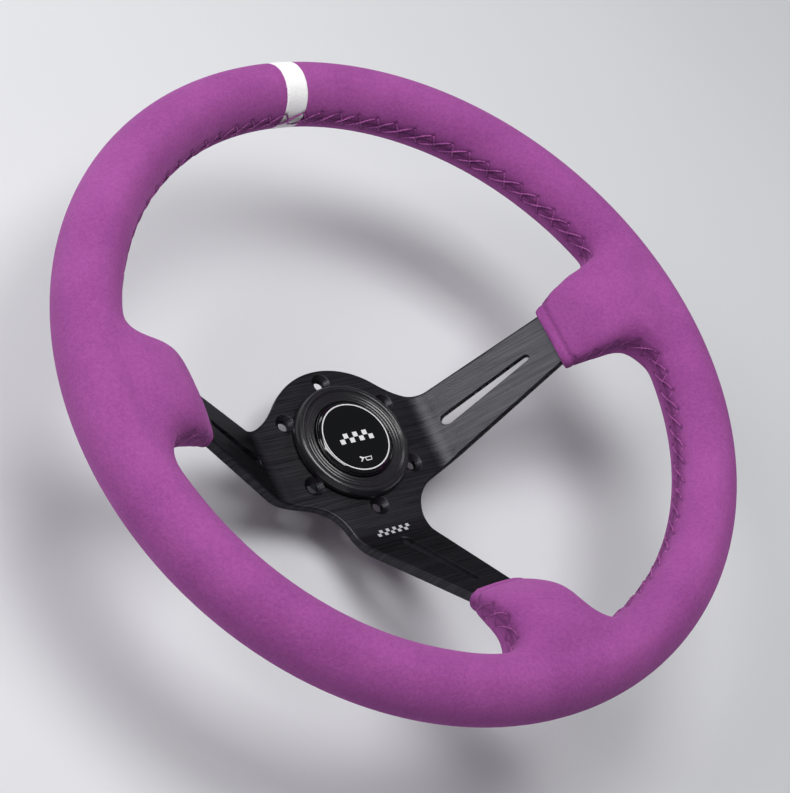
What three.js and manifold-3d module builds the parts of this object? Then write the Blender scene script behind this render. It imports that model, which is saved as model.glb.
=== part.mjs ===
// Deep-dish three-spoke sports steering wheel: pressed aluminium spoke plate, hoop, foam,
// suede cover, and a spring-return horn button in the hub.
// Millimetres. Origin: centre of the hub's back face. +Z is the wheel's axis, towards the
// driver. +Y is the 12 o'clock direction, where the white centre marker is.

import * as THREE from 'three';
import { mergeVertices } from 'three/addons/utils/BufferGeometryUtils.js';
import Module from 'manifold-3d';

const wasm = await Module();
wasm.setup();

// ---- Driving dimensions -------------------------------------------------------------

const clearance = 0.3;          // air gap between neighbouring pieces

// Grip
const wheelDiameter = 350;
const gripWidth = 30.5;         // across the grip, in the plane of the rim
const gripHeight = 34;          // along the wheel's axis
const rimCentreHeight = 77.9;   // middle of the grip over the hub's back face
const coverThickness = 1.4;
const markerWidth = 12;
const threadRadius = 0.8;

// Hoop inside the grip
const hoopWidth = 16;
const hoopHeight = 8;

// Spoke plate
const plateThickness = 5;
const hubBoreRadius = 25;
const boltCircleRadius = 35;
const hubLand = 7.5;            // plate outside the bolt circle
const boltCount = 6;
const boltHoleRadius = 2.75;
const countersinkRadius = 5;
const lowerBend = 51.8;         // radius where the spoke's middle line turns up
const upperBendInset = 16.6;    // the same, where it turns flat, inboard of the grip
const bendRadius = 22;
const slotInnerRadius = 2.9;
const slotOuterRadius = 1.6;
const slotStartInset = 17.2;    // centre of a slot's inner end beyond the hub's edge
const slotEndInset = 11.6;      // centre of its outer end before the mouth of the lug
const lowerSlotExtra = 1.5;     // how much longer the lower spoke's slot is

// Lugs, where the grip runs down over the spokes
const lugWall = 2.9;            // foam and cover over each face of the spoke at the mouth
const lugMouthInset = 37.4;     // the mouth's distance inboard of the grip
const rivetRadius = 3;
const rivetHeadRadius = 4.6;
const rivetHeadHeight = 1.8;
const rivetSpacing = 14;

// Horn button
const trimFlange = 6.3;         // the trim ring's reach over the plate, round the bore
const trimHeight = 6.2;         // over the front of the plate
const lipReach = 3.6;           // the trim ring's opening inside the bore
const lipThickness = 1.2;
const lipDepth = 2.2;           // the lip below the top of the lens
const buttonHeight = 7;         // top of the lens over the front of the plate
const lensInset = 1.2;          // the lens inside the trim ring's opening
const lensThickness = 1.4;
const flangeThickness = 2.2;    // the bezel's flange behind the lip
const bezelThickness = 1.6;
const bossDepth = 4;            // the bezel's boss below the lens
const bossRadius = 3.2;
const pressTravel = 1.6;
const skirtThickness = 1.5;
const skirtDepth = 9;           // below the front of the plate
const ringDepth = 0.7;          // groove round the skirt for the retaining ring
const ringWidth = 2.4;
const ringThickness = 0.75;
const ringSlack = 0.05;         // between the retaining ring and its groove
const contactThickness = 0.8;
const contactWidth = 6;
const carrierThickness = 3;
const housingDepth = 18;        // below the front of the plate
const housingFloorThickness = 1.6;
const housingWall = 1.5;
const springRadius = 6.5;
const springWireRadius = 0.5;
const springTurns = 5;
const terminalWidth = 6.3;
const terminalThickness = 0.8;
const terminalLength = 11;
const screwRadius = 1.25;
const screwHeadRadius = 2.3;
const screwHeadHeight = 1.5;
const screwEndGap = 0.8;        // carrier left over a housing screw's tip

// ---- Sizes that follow from them ----------------------------------------------------

const hubRadius = boltCircleRadius + hubLand;
const trimRadius = hubBoreRadius + trimFlange;
const lipRadius = hubBoreRadius - lipReach;
const lensRadius = lipRadius - lensInset;
const rimRadius = wheelDiameter / 2 - gripWidth / 2;
const gripInnerRadius = wheelDiameter / 2 - gripWidth;
const lugMouth = gripInnerRadius - lugMouthInset;
const upperBend = gripInnerRadius - upperBendInset;
const tabHeight = rimCentreHeight - (hoopHeight + clearance) / 2;   // middle of the spoke's tab
const hoopBottom = tabHeight + plateThickness / 2 + clearance;
const tabEnd = rimRadius + hoopWidth / 2;
const spokeRise = tabHeight - plateThickness / 2;
const spokeAngle = Math.atan2(spokeRise, upperBend - lowerBend);
const skirtOuterRadius = hubBoreRadius - clearance;
const skirtInnerRadius = skirtOuterRadius - skirtThickness;
const trimSegments = 36;
const ringSegments = 60;        // steps round the grip
const sectionPoints = 14;       // points round the grip's section

// ---- Materials ----------------------------------------------------------------------

const material = (color, roughness, metalness) =>
  new THREE.MeshStandardMaterial({ color, roughness, metalness });

const suede = material(0x8a3f86, 0.95, 0);
const whiteLeather = material(0xf0f0ee, 0.7, 0);
const thread = material(0x8e3f8a, 0.8, 0);
const blackAluminium = material(0x26262a, 0.45, 0.9);
const rawAluminium = material(0xb4b6b8, 0.45, 1);
const foam = material(0x2a2a2c, 0.95, 0);
const satinPlastic = material(0x1c1c1e, 0.4, 0);
const glossPlastic = material(0x060607, 0.08, 0);
const nylon = material(0x3a3a3c, 0.6, 0);
const rubber = material(0x151515, 0.9, 0);
const brass = material(0xb8913c, 0.35, 1);
const steel = material(0xa8abad, 0.35, 1);

// ---- Geometry helpers ---------------------------------------------------------------

// A closed three.js geometry as a solid that can be joined and cut.
function solidOf(geometry) {
  const bare = geometry.clone();
  bare.deleteAttribute('normal');
  bare.deleteAttribute('uv');
  const merged = mergeVertices(bare, 1e-4);
  return new wasm.Manifold(new wasm.Mesh({
    numProp: 3,
    vertProperties: new Float32Array(merged.attributes.position.array),
    triVerts: new Uint32Array(merged.index.array),
  }));
}

// A solid as a three.js geometry.
function geometryOf(solid) {
  const mesh = solid.getMesh();
  const geometry = new THREE.BufferGeometry();
  geometry.setAttribute('position', new THREE.BufferAttribute(mesh.vertProperties, 3));
  geometry.setIndex(new THREE.BufferAttribute(mesh.triVerts, 1));
  return geometry;
}

const join = (solids) => solids.reduce((sum, solid) => sum.add(solid));

// A profile of [radius, height] points, counter-clockwise with the radius to the right,
// turned about Z.
function revolve(points, segments) {
  const profile = points.map(([radius, height]) => new THREE.Vector2(radius, height));
  const closed = points[0][0] > 0 || points[points.length - 1][0] > 0;
  if (closed) {
    profile.push(profile[0].clone());
  }
  return new THREE.LatheGeometry(profile, segments).rotateX(Math.PI / 2);
}

// A flat ring or, with no inner radius, a disc.
function washer(innerRadius, outerRadius, bottom, top, segments) {
  return revolve([[innerRadius, bottom], [outerRadius, bottom], [outerRadius, top], [innerRadius, top]],
    segments);
}

// A shape in the XY plane, raised from bottom to top.
function prism(shape, bottom, top, curveSegments = 8) {
  const geometry = new THREE.ExtrudeGeometry(shape, {
    depth: top - bottom, bevelEnabled: false, curveSegments,
  });
  return geometry.translate(0, 0, bottom);
}

function box(width, depth, height, x, y, z) {
  return new THREE.BoxGeometry(width, depth, height).translate(x, y, z);
}

// A cylinder standing along Z.
function rod(radius, bottom, top, segments) {
  return new THREE.CylinderGeometry(radius, radius, top - bottom, segments)
    .rotateX(Math.PI / 2)
    .translate(0, 0, (top + bottom) / 2);
}

// A skin over rings of equal point counts, closed at both ends.
function loft(rings) {
  const count = rings[0].length;
  const positions = rings.flat().flatMap((point) => point.toArray());
  const faces = [];
  for (let ring = 0; ring < rings.length - 1; ring += 1) {
    for (let i = 0; i < count; i += 1) {
      const a = ring * count + i;
      const b = ring * count + (i + 1) % count;
      faces.push(a, b, b + count, a, b + count, a + count);
    }
  }
  const last = (rings.length - 1) * count;
  for (let i = 1; i < count - 1; i += 1) {
    faces.push(0, i + 1, i);
    faces.push(last, last + i, last + i + 1);
  }
  const geometry = new THREE.BufferGeometry();
  geometry.setAttribute('position', new THREE.Float32BufferAttribute(positions, 3));
  geometry.setIndex(faces);
  return geometry;
}

const group = new THREE.Group();

function addPiece(name, geometry, finish) {
  const mesh = new THREE.Mesh(geometry, finish);
  mesh.name = name;
  group.add(mesh);
}

// ---- Spoke plate --------------------------------------------------------------------

// Edges of the spokes in plan. A side spoke runs out along X and leans towards the top of
// the wheel; the lower spoke runs out along -Y. Each line is given by its offset at the
// hub's edge and at the mouth of the lug.
const sideUpperEdge = { atHub: 15, atMouth: 24.8 };
const sideLowerEdge = { atHub: -26.2, atMouth: -3.3 };
const lowerSpokeEdge = { atHub: 22.6, atMouth: 12.9 };

function edgeAt(edge, distance) {
  const share = (distance - hubRadius) / (lugMouth - hubRadius);
  return edge.atHub + (edge.atMouth - edge.atHub) * share;
}

// The right half of the plate's outline, from 12 o'clock clockwise to 6 o'clock, grown by a
// margin. The spokes' far ends lie inside the grip.
function halfOutline(margin) {
  const path = new THREE.Path();
  const neck = 0.76;              // angle of the last point of the hub's round edge, from 3 o'clock
  const neckLength = 15;          // from the hub's edge to the straight edge above
  const crotchInset = 5;          // from the hub's edge back to the straight edge below
  const crotchEnd = 4;            // from the hub's edge to the lower spoke's straight edge
  const radius = hubRadius + margin;
  const end = tabEnd + margin;
  const upper = (x) => edgeAt(sideUpperEdge, x) + margin;
  const lower = (x) => edgeAt(sideLowerEdge, x) - margin;
  const side = (distance) => edgeAt(lowerSpokeEdge, distance) + margin;
  const neckEnd = hubRadius + neckLength;
  path.moveTo(0, radius);
  path.absarc(0, 0, radius, Math.PI / 2, neck, true);
  path.quadraticCurveTo(hubRadius + 2, upper(hubRadius) + 0.3, neckEnd, upper(neckEnd));
  path.lineTo(end, upper(end));
  path.lineTo(end, lower(end));
  path.lineTo(hubRadius - crotchInset, lower(hubRadius - crotchInset));
  path.quadraticCurveTo(side(hubRadius - crotchInset - crotchEnd), lower(hubRadius * 0.55),
    side(hubRadius + crotchEnd), -hubRadius - crotchEnd);
  path.lineTo(side(end), -end);
  path.lineTo(0, -end);
  return path.getPoints(7);
}

function plateOutline(margin) {
  const right = halfOutline(margin);
  const left = right.slice(1, -1).reverse().map((point) => new THREE.Vector2(-point.x, point.y));
  return new THREE.Shape([...right, ...left]);
}

// Side view of a spoke: flat at the hub, up the slope, flat again at the hoop.
function spokeProfile(margin) {
  const half = plateThickness / 2 + margin;
  const middle = plateThickness / 2;
  const tangent = bendRadius * Math.tan(spokeAngle / 2);
  const rise = -Math.PI / 2 + spokeAngle;
  const crest = Math.PI / 2 + spokeAngle;
  const foot = { x: lowerBend - tangent, y: middle + bendRadius };
  const head = { x: upperBend + tangent, y: tabHeight - bendRadius };
  const shape = new THREE.Shape();
  shape.moveTo(0, middle - half);
  shape.absarc(foot.x, foot.y, bendRadius + half, -Math.PI / 2, rise, false);
  shape.absarc(head.x, head.y, bendRadius - half, crest, Math.PI / 2, true);
  shape.lineTo(tabEnd + margin, tabHeight - half);
  shape.lineTo(tabEnd + margin, tabHeight + half);
  shape.absarc(head.x, head.y, bendRadius + half, Math.PI / 2, crest, false);
  shape.absarc(foot.x, foot.y, bendRadius - half, rise, -Math.PI / 2, true);
  shape.lineTo(0, middle + half);
  return shape;
}

// The bent strip that one spoke is cut from, lying along +X.
function spokeStrip(halfWidth, margin) {
  return prism(spokeProfile(margin), -halfWidth, halfWidth, 5).rotateX(Math.PI / 2);
}

// The bent plate before its holes are cut.
function plateBlank(margin) {
  const halfWidth = hubRadius - 0.5;
  const middle = plateThickness / 2;
  const half = middle + margin;
  const strips = [0, Math.PI, -Math.PI / 2].map((angle) =>
    solidOf(spokeStrip(halfWidth, margin).rotateZ(angle)));
  const hub = solidOf(rod(hubRadius + margin, middle - half, middle + half, 40));
  const outline = solidOf(prism(plateOutline(margin), -2 * plateThickness, rimCentreHeight * 2));
  return join([...strips, hub]).intersect(outline);
}

// A slot with round ends that narrows outwards, through the full height of a spoke.
function slotCutter(inner, outer) {
  const along = outer.clone().sub(inner);
  const heading = along.angle();
  const lean = Math.asin((slotInnerRadius - slotOuterRadius) / along.length());
  const quarter = Math.PI / 2;
  const shape = new THREE.Shape();
  shape.absarc(inner.x, inner.y, slotInnerRadius, heading + quarter - lean, heading - quarter + lean, false);
  shape.absarc(outer.x, outer.y, slotOuterRadius, heading - quarter + lean, heading + quarter - lean, false);
  return solidOf(prism(shape, -plateThickness, rimCentreHeight * 2, 5));
}

// Where a slot's round ends are centred, measured from the hub's edge and from the mouth.
const slotStart = hubRadius + slotStartInset;
const slotEnd = lugMouth - slotEndInset;
const sideMiddle = (distance) => (edgeAt(sideUpperEdge, distance) + edgeAt(sideLowerEdge, distance)) / 2;

function slotCutters() {
  const sideInner = new THREE.Vector2(slotStart, sideMiddle(slotStart));
  const sideOuter = new THREE.Vector2(slotEnd, sideMiddle(slotEnd));
  const mirrored = (point) => new THREE.Vector2(-point.x, point.y);
  return [
    slotCutter(sideInner, sideOuter),
    slotCutter(mirrored(sideInner), mirrored(sideOuter)),
    slotCutter(new THREE.Vector2(0, -slotStart), new THREE.Vector2(0, -slotEnd - lowerSlotExtra)),
  ];
}

// A countersunk bolt hole on the hub.
function boltCutter(index) {
  const angle = Math.PI / 2 + index * 2 * Math.PI / boltCount;
  const sink = countersinkRadius - boltHoleRadius;
  const above = 1;
  const profile = [[0, -above], [boltHoleRadius, -above], [boltHoleRadius, plateThickness - sink],
    [countersinkRadius + above, plateThickness + above], [0, plateThickness + above]];
  return solidOf(revolve(profile, 16).translate(
    boltCircleRadius * Math.cos(angle), boltCircleRadius * Math.sin(angle), 0));
}

// The spots on each spoke's tab where its rivets pass, in plan.
function rivetSpots() {
  const spots = [];
  for (const side of [-1, 1]) {
    const shift = side * rivetSpacing / 2;
    spots.push([rimRadius, sideMiddle(rimRadius) + shift]);
    spots.push([-rimRadius, sideMiddle(rimRadius) + shift]);
    spots.push([shift, -rimRadius]);
  }
  return spots;
}

function rivetHoles() {
  return rivetSpots().map(([x, y]) =>
    solidOf(rod(rivetRadius + clearance, tabHeight - hoopHeight, hoopBottom + 2 * hoopHeight, 8)
      .translate(x, y, 0)));
}

function addSpokePlate() {
  const bore = solidOf(rod(hubBoreRadius, -plateThickness, 2 * plateThickness, 40));
  const bolts = Array.from({ length: boltCount }, (_, index) => boltCutter(index));
  const cutters = join([bore, ...bolts, ...slotCutters(), ...rivetHoles()]);
  addPiece('spoke_plate', geometryOf(plateBlank(0).subtract(cutters)), blackAluminium);
}

// ---- Hoop and rivets ----------------------------------------------------------------

function hoopSolid(margin) {
  return solidOf(washer(rimRadius - hoopWidth / 2 - margin, rimRadius + hoopWidth / 2 + margin,
    hoopBottom - margin, hoopBottom + hoopHeight + margin, ringSegments));
}

function addHoop() {
  addPiece('rim_hoop', geometryOf(hoopSolid(0).subtract(join(rivetHoles()))), rawAluminium);
}

// A rivet with a coned head over the hoop and another under the spoke's tab.
function rivetProfile(margin) {
  const shank = rivetRadius + margin;
  const head = rivetHeadRadius + margin;
  const crown = head * 0.7;
  const under = tabHeight - plateThickness / 2 - clearance;
  const over = hoopBottom + hoopHeight + clearance;
  const height = rivetHeadHeight + margin;
  return [[0, under - height], [crown, under - height], [head, under], [shank, under],
    [shank, over], [head, over], [crown, over + height], [0, over + height]];
}

function addRivets() {
  rivetSpots().forEach(([x, y], index) => {
    addPiece(`spoke_rivet_${index + 1}`, revolve(rivetProfile(0), 8).translate(x, y, 0), steel);
  });
}

// ---- Grip: foam, cover, marker and seams --------------------------------------------

// The ring of the grip, shrunk by an inset on all sides.
function gripRing(inset) {
  const points = [];
  for (let i = 0; i < sectionPoints; i += 1) {
    const angle = (i + 0.5) * 2 * Math.PI / sectionPoints;
    points.push([rimRadius + (gripWidth / 2 - inset) * Math.cos(angle),
      rimCentreHeight + (gripHeight / 2 - inset) * Math.sin(angle)]);
  }
  return solidOf(revolve(points, ringSegments));
}

// Height of a spoke's middle line in the lug.
function spokeMiddle(distance) {
  const rising = plateThickness / 2 + (distance - lowerBend) * Math.tan(spokeAngle);
  return Math.min(rising, tabHeight);
}

// Cross-sections of a lug from its mouth into the grip. Each gives its share of the way to
// the grip's inner edge, how far its sides reach beyond the edges of the spoke (the upper
// and lower edges of a side spoke, and both edges of the lower spoke), how much deeper it is
// behind the spoke than in front, and how far it has changed from the spoke's slope and
// thickness to the grip's.
const lugStations = [
  { share: 0, upper: 3.6, lower: 3.2, even: 3, under: 0, blend: 0 },
  { share: 0.14, upper: 7, lower: 5.6, even: 5.8, under: 2, blend: 0.12 },
  { share: 0.35, upper: 9, lower: 9.6, even: 8.2, under: 3.6, blend: 0.38 },
  { share: 0.6, upper: 9.8, lower: 13.4, even: 10.4, under: 2.4, blend: 0.7 },
  { share: 0.8, upper: 12.5, lower: 18, even: 14.5, under: 1, blend: 0.9 },
  { share: 0.9, upper: 17, lower: 23, even: 19.5, under: 0.4, blend: 0.96 },
  { share: 1, upper: 25, lower: 31, even: 28, under: 0, blend: 1 },
  { share: 1.12, upper: 42, lower: 46, even: 42, under: 0, blend: 1 },
];
const lugSectionPoints = 14;
const squareness = 0.6;         // 1 is an ellipse, and less is nearer to a rectangle
const lugRootShare = 0.46;      // half the lug's depth where it meets the grip, over the grip's height

// How a lug's two sides follow the two edges of its spoke, with the spoke lying along +X.
const sideSpoke = {
  upper: sideUpperEdge, lower: sideLowerEdge, lowerSign: 1, upperReach: 'upper', lowerReach: 'lower',
};
const lowerSpoke = {
  upper: lowerSpokeEdge, lower: lowerSpokeEdge, lowerSign: -1, upperReach: 'even', lowerReach: 'even',
};

function lugSides(spoke, distance) {
  return {
    upper: edgeAt(spoke.upper, distance),
    lower: spoke.lowerSign * edgeAt(spoke.lower, distance),
  };
}

// One cross-section: a rounded rectangle across the spoke, square to the lug's slope.
function lugRing(spoke, station, inset) {
  const atMouth = station.share === 0;
  const distance = lugMouth + station.share * lugMouthInset + (atMouth ? inset * Math.cos(spokeAngle) : 0);
  const slope = spokeAngle * (1 - station.blend);
  const middle = THREE.MathUtils.lerp(spokeMiddle(distance), rimCentreHeight, station.blend);
  const thinnest = plateThickness / 2 + lugWall;
  const thickness = THREE.MathUtils.lerp(thinnest, gripHeight * lugRootShare, station.blend) - inset;
  const sides = lugSides(spoke, distance);
  const upper = sides.upper + station[spoke.upperReach] - inset;
  const lower = sides.lower - station[spoke.lowerReach] + inset;
  const squared = (value) => Math.sign(value) * Math.abs(value) ** squareness;
  const ring = [];
  for (let i = 0; i < lugSectionPoints; i += 1) {
    const angle = (i + 0.5) * 2 * Math.PI / lugSectionPoints;
    const across = (upper + lower) / 2 + (upper - lower) / 2 * squared(Math.cos(angle));
    const rise = Math.sin(angle);
    const over = (thickness + (rise < 0 ? station.under : 0)) * squared(rise);
    ring.push(new THREE.Vector3(distance - over * Math.sin(slope), across, middle + over * Math.cos(slope)));
  }
  return ring;
}

// A lug lying along +X.
function lugLoft(spoke, inset) {
  return solidOf(loft(lugStations.map((station) => lugRing(spoke, station, inset))));
}

// The three lugs, at 3, 9 and 6 o'clock.
function lugSolids(inset) {
  return [
    lugLoft(sideSpoke, inset),
    lugLoft(sideSpoke, inset).mirror([1, 0, 0]),
    lugLoft(lowerSpoke, inset).rotate([0, 0, -90]),
  ];
}

function gripSolid(inset) {
  return join([gripRing(inset), ...lugSolids(inset)]);
}

// A block across the grip at 12 o'clock.
function markerBlock(width) {
  return solidOf(box(width, 2 * gripWidth, 2 * gripHeight, 0, rimRadius, rimCentreHeight));
}

function addGrip() {
  const spokeSpace = plateBlank(clearance);
  const hoopSpace = hoopSolid(clearance);
  const rivetSpaces = rivetSpots().map(([x, y]) =>
    solidOf(revolve(rivetProfile(clearance), 8).translate(x, y, 0)));
  const paddingInset = coverThickness + clearance;
  const padding = gripSolid(paddingInset).subtract(join([spokeSpace, hoopSpace, ...rivetSpaces]));
  const cover = gripSolid(0)
    .subtract(gripSolid(coverThickness))
    .subtract(spokeSpace)
    .subtract(markerBlock(markerWidth + 2 * clearance));
  const marker = gripRing(0)
    .subtract(gripRing(coverThickness))
    .intersect(markerBlock(markerWidth));
  addPiece('rim_padding', geometryOf(padding), foam);
  addPiece('rim_cover', geometryOf(cover), suede);
  addPiece('centre_marker', geometryOf(marker), whiteLeather);
}

// ---- Seams --------------------------------------------------------------------------

// A thread along the innermost line of the grip, between two angles from 3 o'clock.
function seamThread(from, to) {
  const radius = gripInnerRadius - clearance - threadRadius;
  const stepAngle = 0.1;
  const steps = Math.ceil((to - from) / stepAngle);
  const points = Array.from({ length: steps + 1 }, (_, i) => {
    const angle = from + (to - from) * i / steps;
    return new THREE.Vector3(radius * Math.cos(angle), radius * Math.sin(angle), rimCentreHeight);
  });
  const section = new THREE.Shape().absarc(0, 0, threadRadius, 0, 2 * Math.PI, false);
  return new THREE.ExtrudeGeometry(section, {
    extrudePath: new THREE.CatmullRomCurve3(points), steps, curveSegments: 3, bevelEnabled: false,
  });
}

// Angle of a lug's corner with the grip's inner edge, from its spoke's own direction.
function lugCorner(spoke, side) {
  const corner = lugStations.find((station) => station.share === 1);
  const sides = lugSides(spoke, gripInnerRadius);
  const reach = side > 0 ? sides.upper + corner[spoke.upperReach] : corner[spoke.lowerReach] - sides.lower;
  return Math.asin(reach / gripInnerRadius) + 2 * (threadRadius + clearance) / gripInnerRadius;
}

function addSeams() {
  const upper = lugCorner(sideSpoke, 1);
  const lower = lugCorner(sideSpoke, -1);
  const foot = lugCorner(lowerSpoke, 1);
  const quarter = Math.PI / 2;
  addPiece('seam_thread_upper', seamThread(upper, 2 * quarter - upper), thread);
  addPiece('seam_thread_lower_right', seamThread(foot - quarter, -lower), thread);
  addPiece('seam_thread_lower_left', seamThread(lower - 2 * quarter, -quarter - foot), thread);
}

// ---- Horn button --------------------------------------------------------------------

// Heights in the button, downwards from its face.
const plateFront = plateThickness;
const lensTop = plateFront + buttonHeight;
const lensBottom = lensTop - lensThickness;
const lipTop = lensTop - lipDepth;
const lipBottom = lipTop - lipThickness;
const flangeTop = lipBottom - clearance;
const flangeBottom = flangeTop - flangeThickness;
const bezelFloor = lensBottom - clearance;
const bossBottom = bezelFloor - bossDepth;
const movingTop = bossBottom - clearance;
const movingBottom = movingTop - contactThickness;
const fixedTop = movingBottom - pressTravel - clearance;
const fixedBottom = fixedTop - contactThickness;
const carrierTop = fixedBottom - clearance;
const carrierBottom = carrierTop - carrierThickness;
const housingTop = carrierBottom - clearance;
const housingBottom = plateFront - housingDepth;
const housingFloor = housingBottom + housingFloorThickness;
const seatBottom = housingFloor + clearance;
const seatTop = seatBottom + terminalThickness;
const insideRadius = skirtInnerRadius - clearance;    // pieces that sit in the trim ring's skirt
const contactInnerRadius = springRadius + springWireRadius + 1.5;
const contactOuterRadius = contactInnerRadius + contactWidth;
const terminalOffset = (contactInnerRadius + contactOuterRadius) / 2;
const terminalBottom = housingBottom - terminalLength;
const screwOffset = (insideRadius - housingWall + contactOuterRadius) / 2;
const grooveRadius = skirtOuterRadius - ringDepth;
const grooveTop = (plateThickness + ringWidth) / 2 + clearance;
const grooveBottom = (plateThickness - ringWidth) / 2 - clearance;

function addTrimRing() {
  const base = plateFront + clearance;
  const crest = plateFront + trimHeight;
  const profile = [
    [skirtInnerRadius, plateFront - skirtDepth],
    [skirtOuterRadius, plateFront - skirtDepth],
    [skirtOuterRadius, grooveBottom],
    [grooveRadius, grooveBottom],
    [grooveRadius, grooveTop],
    [skirtOuterRadius, grooveTop],
    [skirtOuterRadius, base],
    [trimRadius - 1, base],
    [trimRadius, base + 1.3],
    [trimRadius - 0.5, base + 3.6],
    [trimRadius - 2, crest - 0.6],
    [trimRadius - 3.6, crest],
    [trimRadius - 5.4, crest - 0.5],
    [skirtOuterRadius, lipTop + 0.3],
    [lipRadius, lipTop],
    [lipRadius, lipBottom],
    [skirtInnerRadius, lipBottom],
  ];
  addPiece('trim_ring', revolve(profile, trimSegments), satinPlastic);
}

// The button that is pressed: a flanged cup behind the trim ring's lip, a lens let into its
// face, and a contact disc on the boss underneath.
function addButton() {
  const outer = lipRadius - clearance;
  const recess = lensRadius + clearance;
  const wall = outer - 1.4;
  const rimTop = lensTop - 0.6;
  const bezel = [
    [0, bossBottom], [bossRadius, bossBottom], [bossRadius, bezelFloor - bezelThickness],
    [wall, bezelFloor - bezelThickness], [wall, flangeBottom], [insideRadius, flangeBottom],
    [insideRadius, flangeTop], [outer, flangeTop], [outer, rimTop], [recess, rimTop],
    [recess, bezelFloor], [0, bezelFloor],
  ];
  const lens = [
    [0, lensBottom], [lensRadius, lensBottom], [lensRadius, lensTop - 0.5],
    [lensRadius - 0.9, lensTop - 0.15], [lensRadius * 0.5, lensTop], [0, lensTop],
  ];
  const disc = washer(0, contactOuterRadius - 0.5, movingBottom, movingTop, 24);
  addPiece('button_bezel', revolve(bezel, 28), satinPlastic);
  addPiece('button_lens', revolve(lens, 32), glossPlastic);
  addPiece('moving_contact', disc, brass);
}

class Coil extends THREE.Curve {
  constructor(radius, bottom, top, turns) {
    super();
    Object.assign(this, { radius, bottom, top, turns });
  }

  getPoint(t, target = new THREE.Vector3()) {
    const angle = 2 * Math.PI * this.turns * t;
    const height = this.bottom + (this.top - this.bottom) * t;
    return target.set(this.radius * Math.cos(angle), this.radius * Math.sin(angle), height);
  }
}

function addSpring() {
  const gap = clearance + springWireRadius + 0.1;
  const coil = new Coil(springRadius, seatTop + gap, movingBottom - gap, springTurns);
  const section = new THREE.Shape().absarc(0, 0, springWireRadius, 0, 2 * Math.PI, false);
  addPiece('return_spring', new THREE.ExtrudeGeometry(section, {
    extrudePath: coil, steps: springTurns * 9, curveSegments: 3, bevelEnabled: false,
  }), steel);
}

// A slot for a terminal's blade, through whatever lies between two heights.
function bladeSlot(x, bottom, top) {
  const height = top - bottom + 2;
  return solidOf(box(terminalThickness + 2 * clearance, terminalWidth + 2 * clearance, height,
    x, 0, (top + bottom) / 2));
}

function blade(x, bottom, top) {
  return box(terminalThickness, terminalWidth, top - bottom, x, 0, (top + bottom) / 2);
}

function screwHoles(bottom, top) {
  return [-1, 1].map((side) =>
    solidOf(rod(screwRadius + clearance, bottom - 1, top, 10).translate(0, side * screwOffset, 0)));
}

// The fixed contact on its carrier, and the cup that closes the back.
function addSwitchBody() {
  const fixed = washer(contactInnerRadius, contactOuterRadius, fixedBottom, fixedTop, 24);
  const carrier = solidOf(washer(contactInnerRadius, insideRadius, carrierBottom, carrierTop, 28))
    .subtract(join([bladeSlot(terminalOffset, carrierBottom, carrierTop),
      ...screwHoles(carrierBottom, carrierTop - screwEndGap)]));
  const cup = [
    [0, housingBottom], [insideRadius, housingBottom], [insideRadius, housingTop],
    [insideRadius - housingWall, housingTop], [insideRadius - housingWall, housingFloor], [0, housingFloor],
  ];
  const housing = solidOf(revolve(cup, 28)).subtract(join([
    bladeSlot(terminalOffset, housingBottom, housingFloor),
    bladeSlot(-terminalOffset, housingBottom, housingFloor),
    ...screwHoles(housingBottom, housingFloor + 1),
  ]));
  addPiece('fixed_contact', fixed, brass);
  addPiece('contact_carrier', geometryOf(carrier), nylon);
  addPiece('horn_housing', geometryOf(housing), nylon);
}

// The live terminal rises to the fixed contact; the earth terminal ends in the spring's seat.
function addTerminals() {
  const seatRadius = springRadius + springWireRadius + 0.5;
  const seat = solidOf(washer(0, seatRadius, seatBottom, seatTop, 20));
  const bridgeLength = terminalOffset + terminalThickness / 2;
  const bridge = solidOf(box(bridgeLength, terminalWidth, terminalThickness,
    -bridgeLength / 2, 0, (seatBottom + seatTop) / 2));
  const earthBlade = solidOf(blade(-terminalOffset, terminalBottom, seatTop));
  addPiece('live_terminal', blade(terminalOffset, terminalBottom, fixedBottom - clearance), brass);
  addPiece('earth_terminal', geometryOf(join([seat, bridge, earthBlade])), brass);
}

// Two screws through the housing's floor into the contact carrier.
function addHousingScrews() {
  const headTop = housingBottom - clearance;
  const headBottom = headTop - screwHeadHeight;
  const tip = carrierTop - screwEndGap - clearance;
  const profile = [
    [0, headBottom], [screwHeadRadius - 0.4, headBottom], [screwHeadRadius, headBottom + 0.8],
    [screwHeadRadius, headTop], [screwRadius, headTop], [screwRadius, tip], [0, tip],
  ];
  [-1, 1].forEach((side, index) => {
    addPiece(`housing_screw_${index + 1}`, revolve(profile, 10).translate(0, side * screwOffset, 0), steel);
  });
}

// A rubber ring in a groove round the skirt, which grips the hub's bore and holds the button in.
function addCollar() {
  const inner = grooveRadius + ringSlack;
  addPiece('retaining_collar', washer(inner, inner + ringThickness, grooveBottom + clearance,
    grooveTop - clearance, trimSegments), rubber);
}

addSpokePlate();
addHoop();
addRivets();
addGrip();
addSeams();
addTrimRing();
addButton();
addSpring();
addSwitchBody();
addTerminals();
addHousingScrews();
addCollar();

export default group;
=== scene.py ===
"""Deep-dish sports steering wheel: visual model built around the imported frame.

Sizes are in millimetres in the classes and in metres in the meshes. The wheel's axis is +Z,
towards the driver, and +Y is 12 o'clock.
"""

import logging
import math
from dataclasses import dataclass, field
from enum import Enum
from functools import partial
from typing import Any, Callable, Sequence

import bpy
import numpy as np
from mathutils import Matrix, Vector
from mathutils.bvhtree import BVHTree


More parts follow.
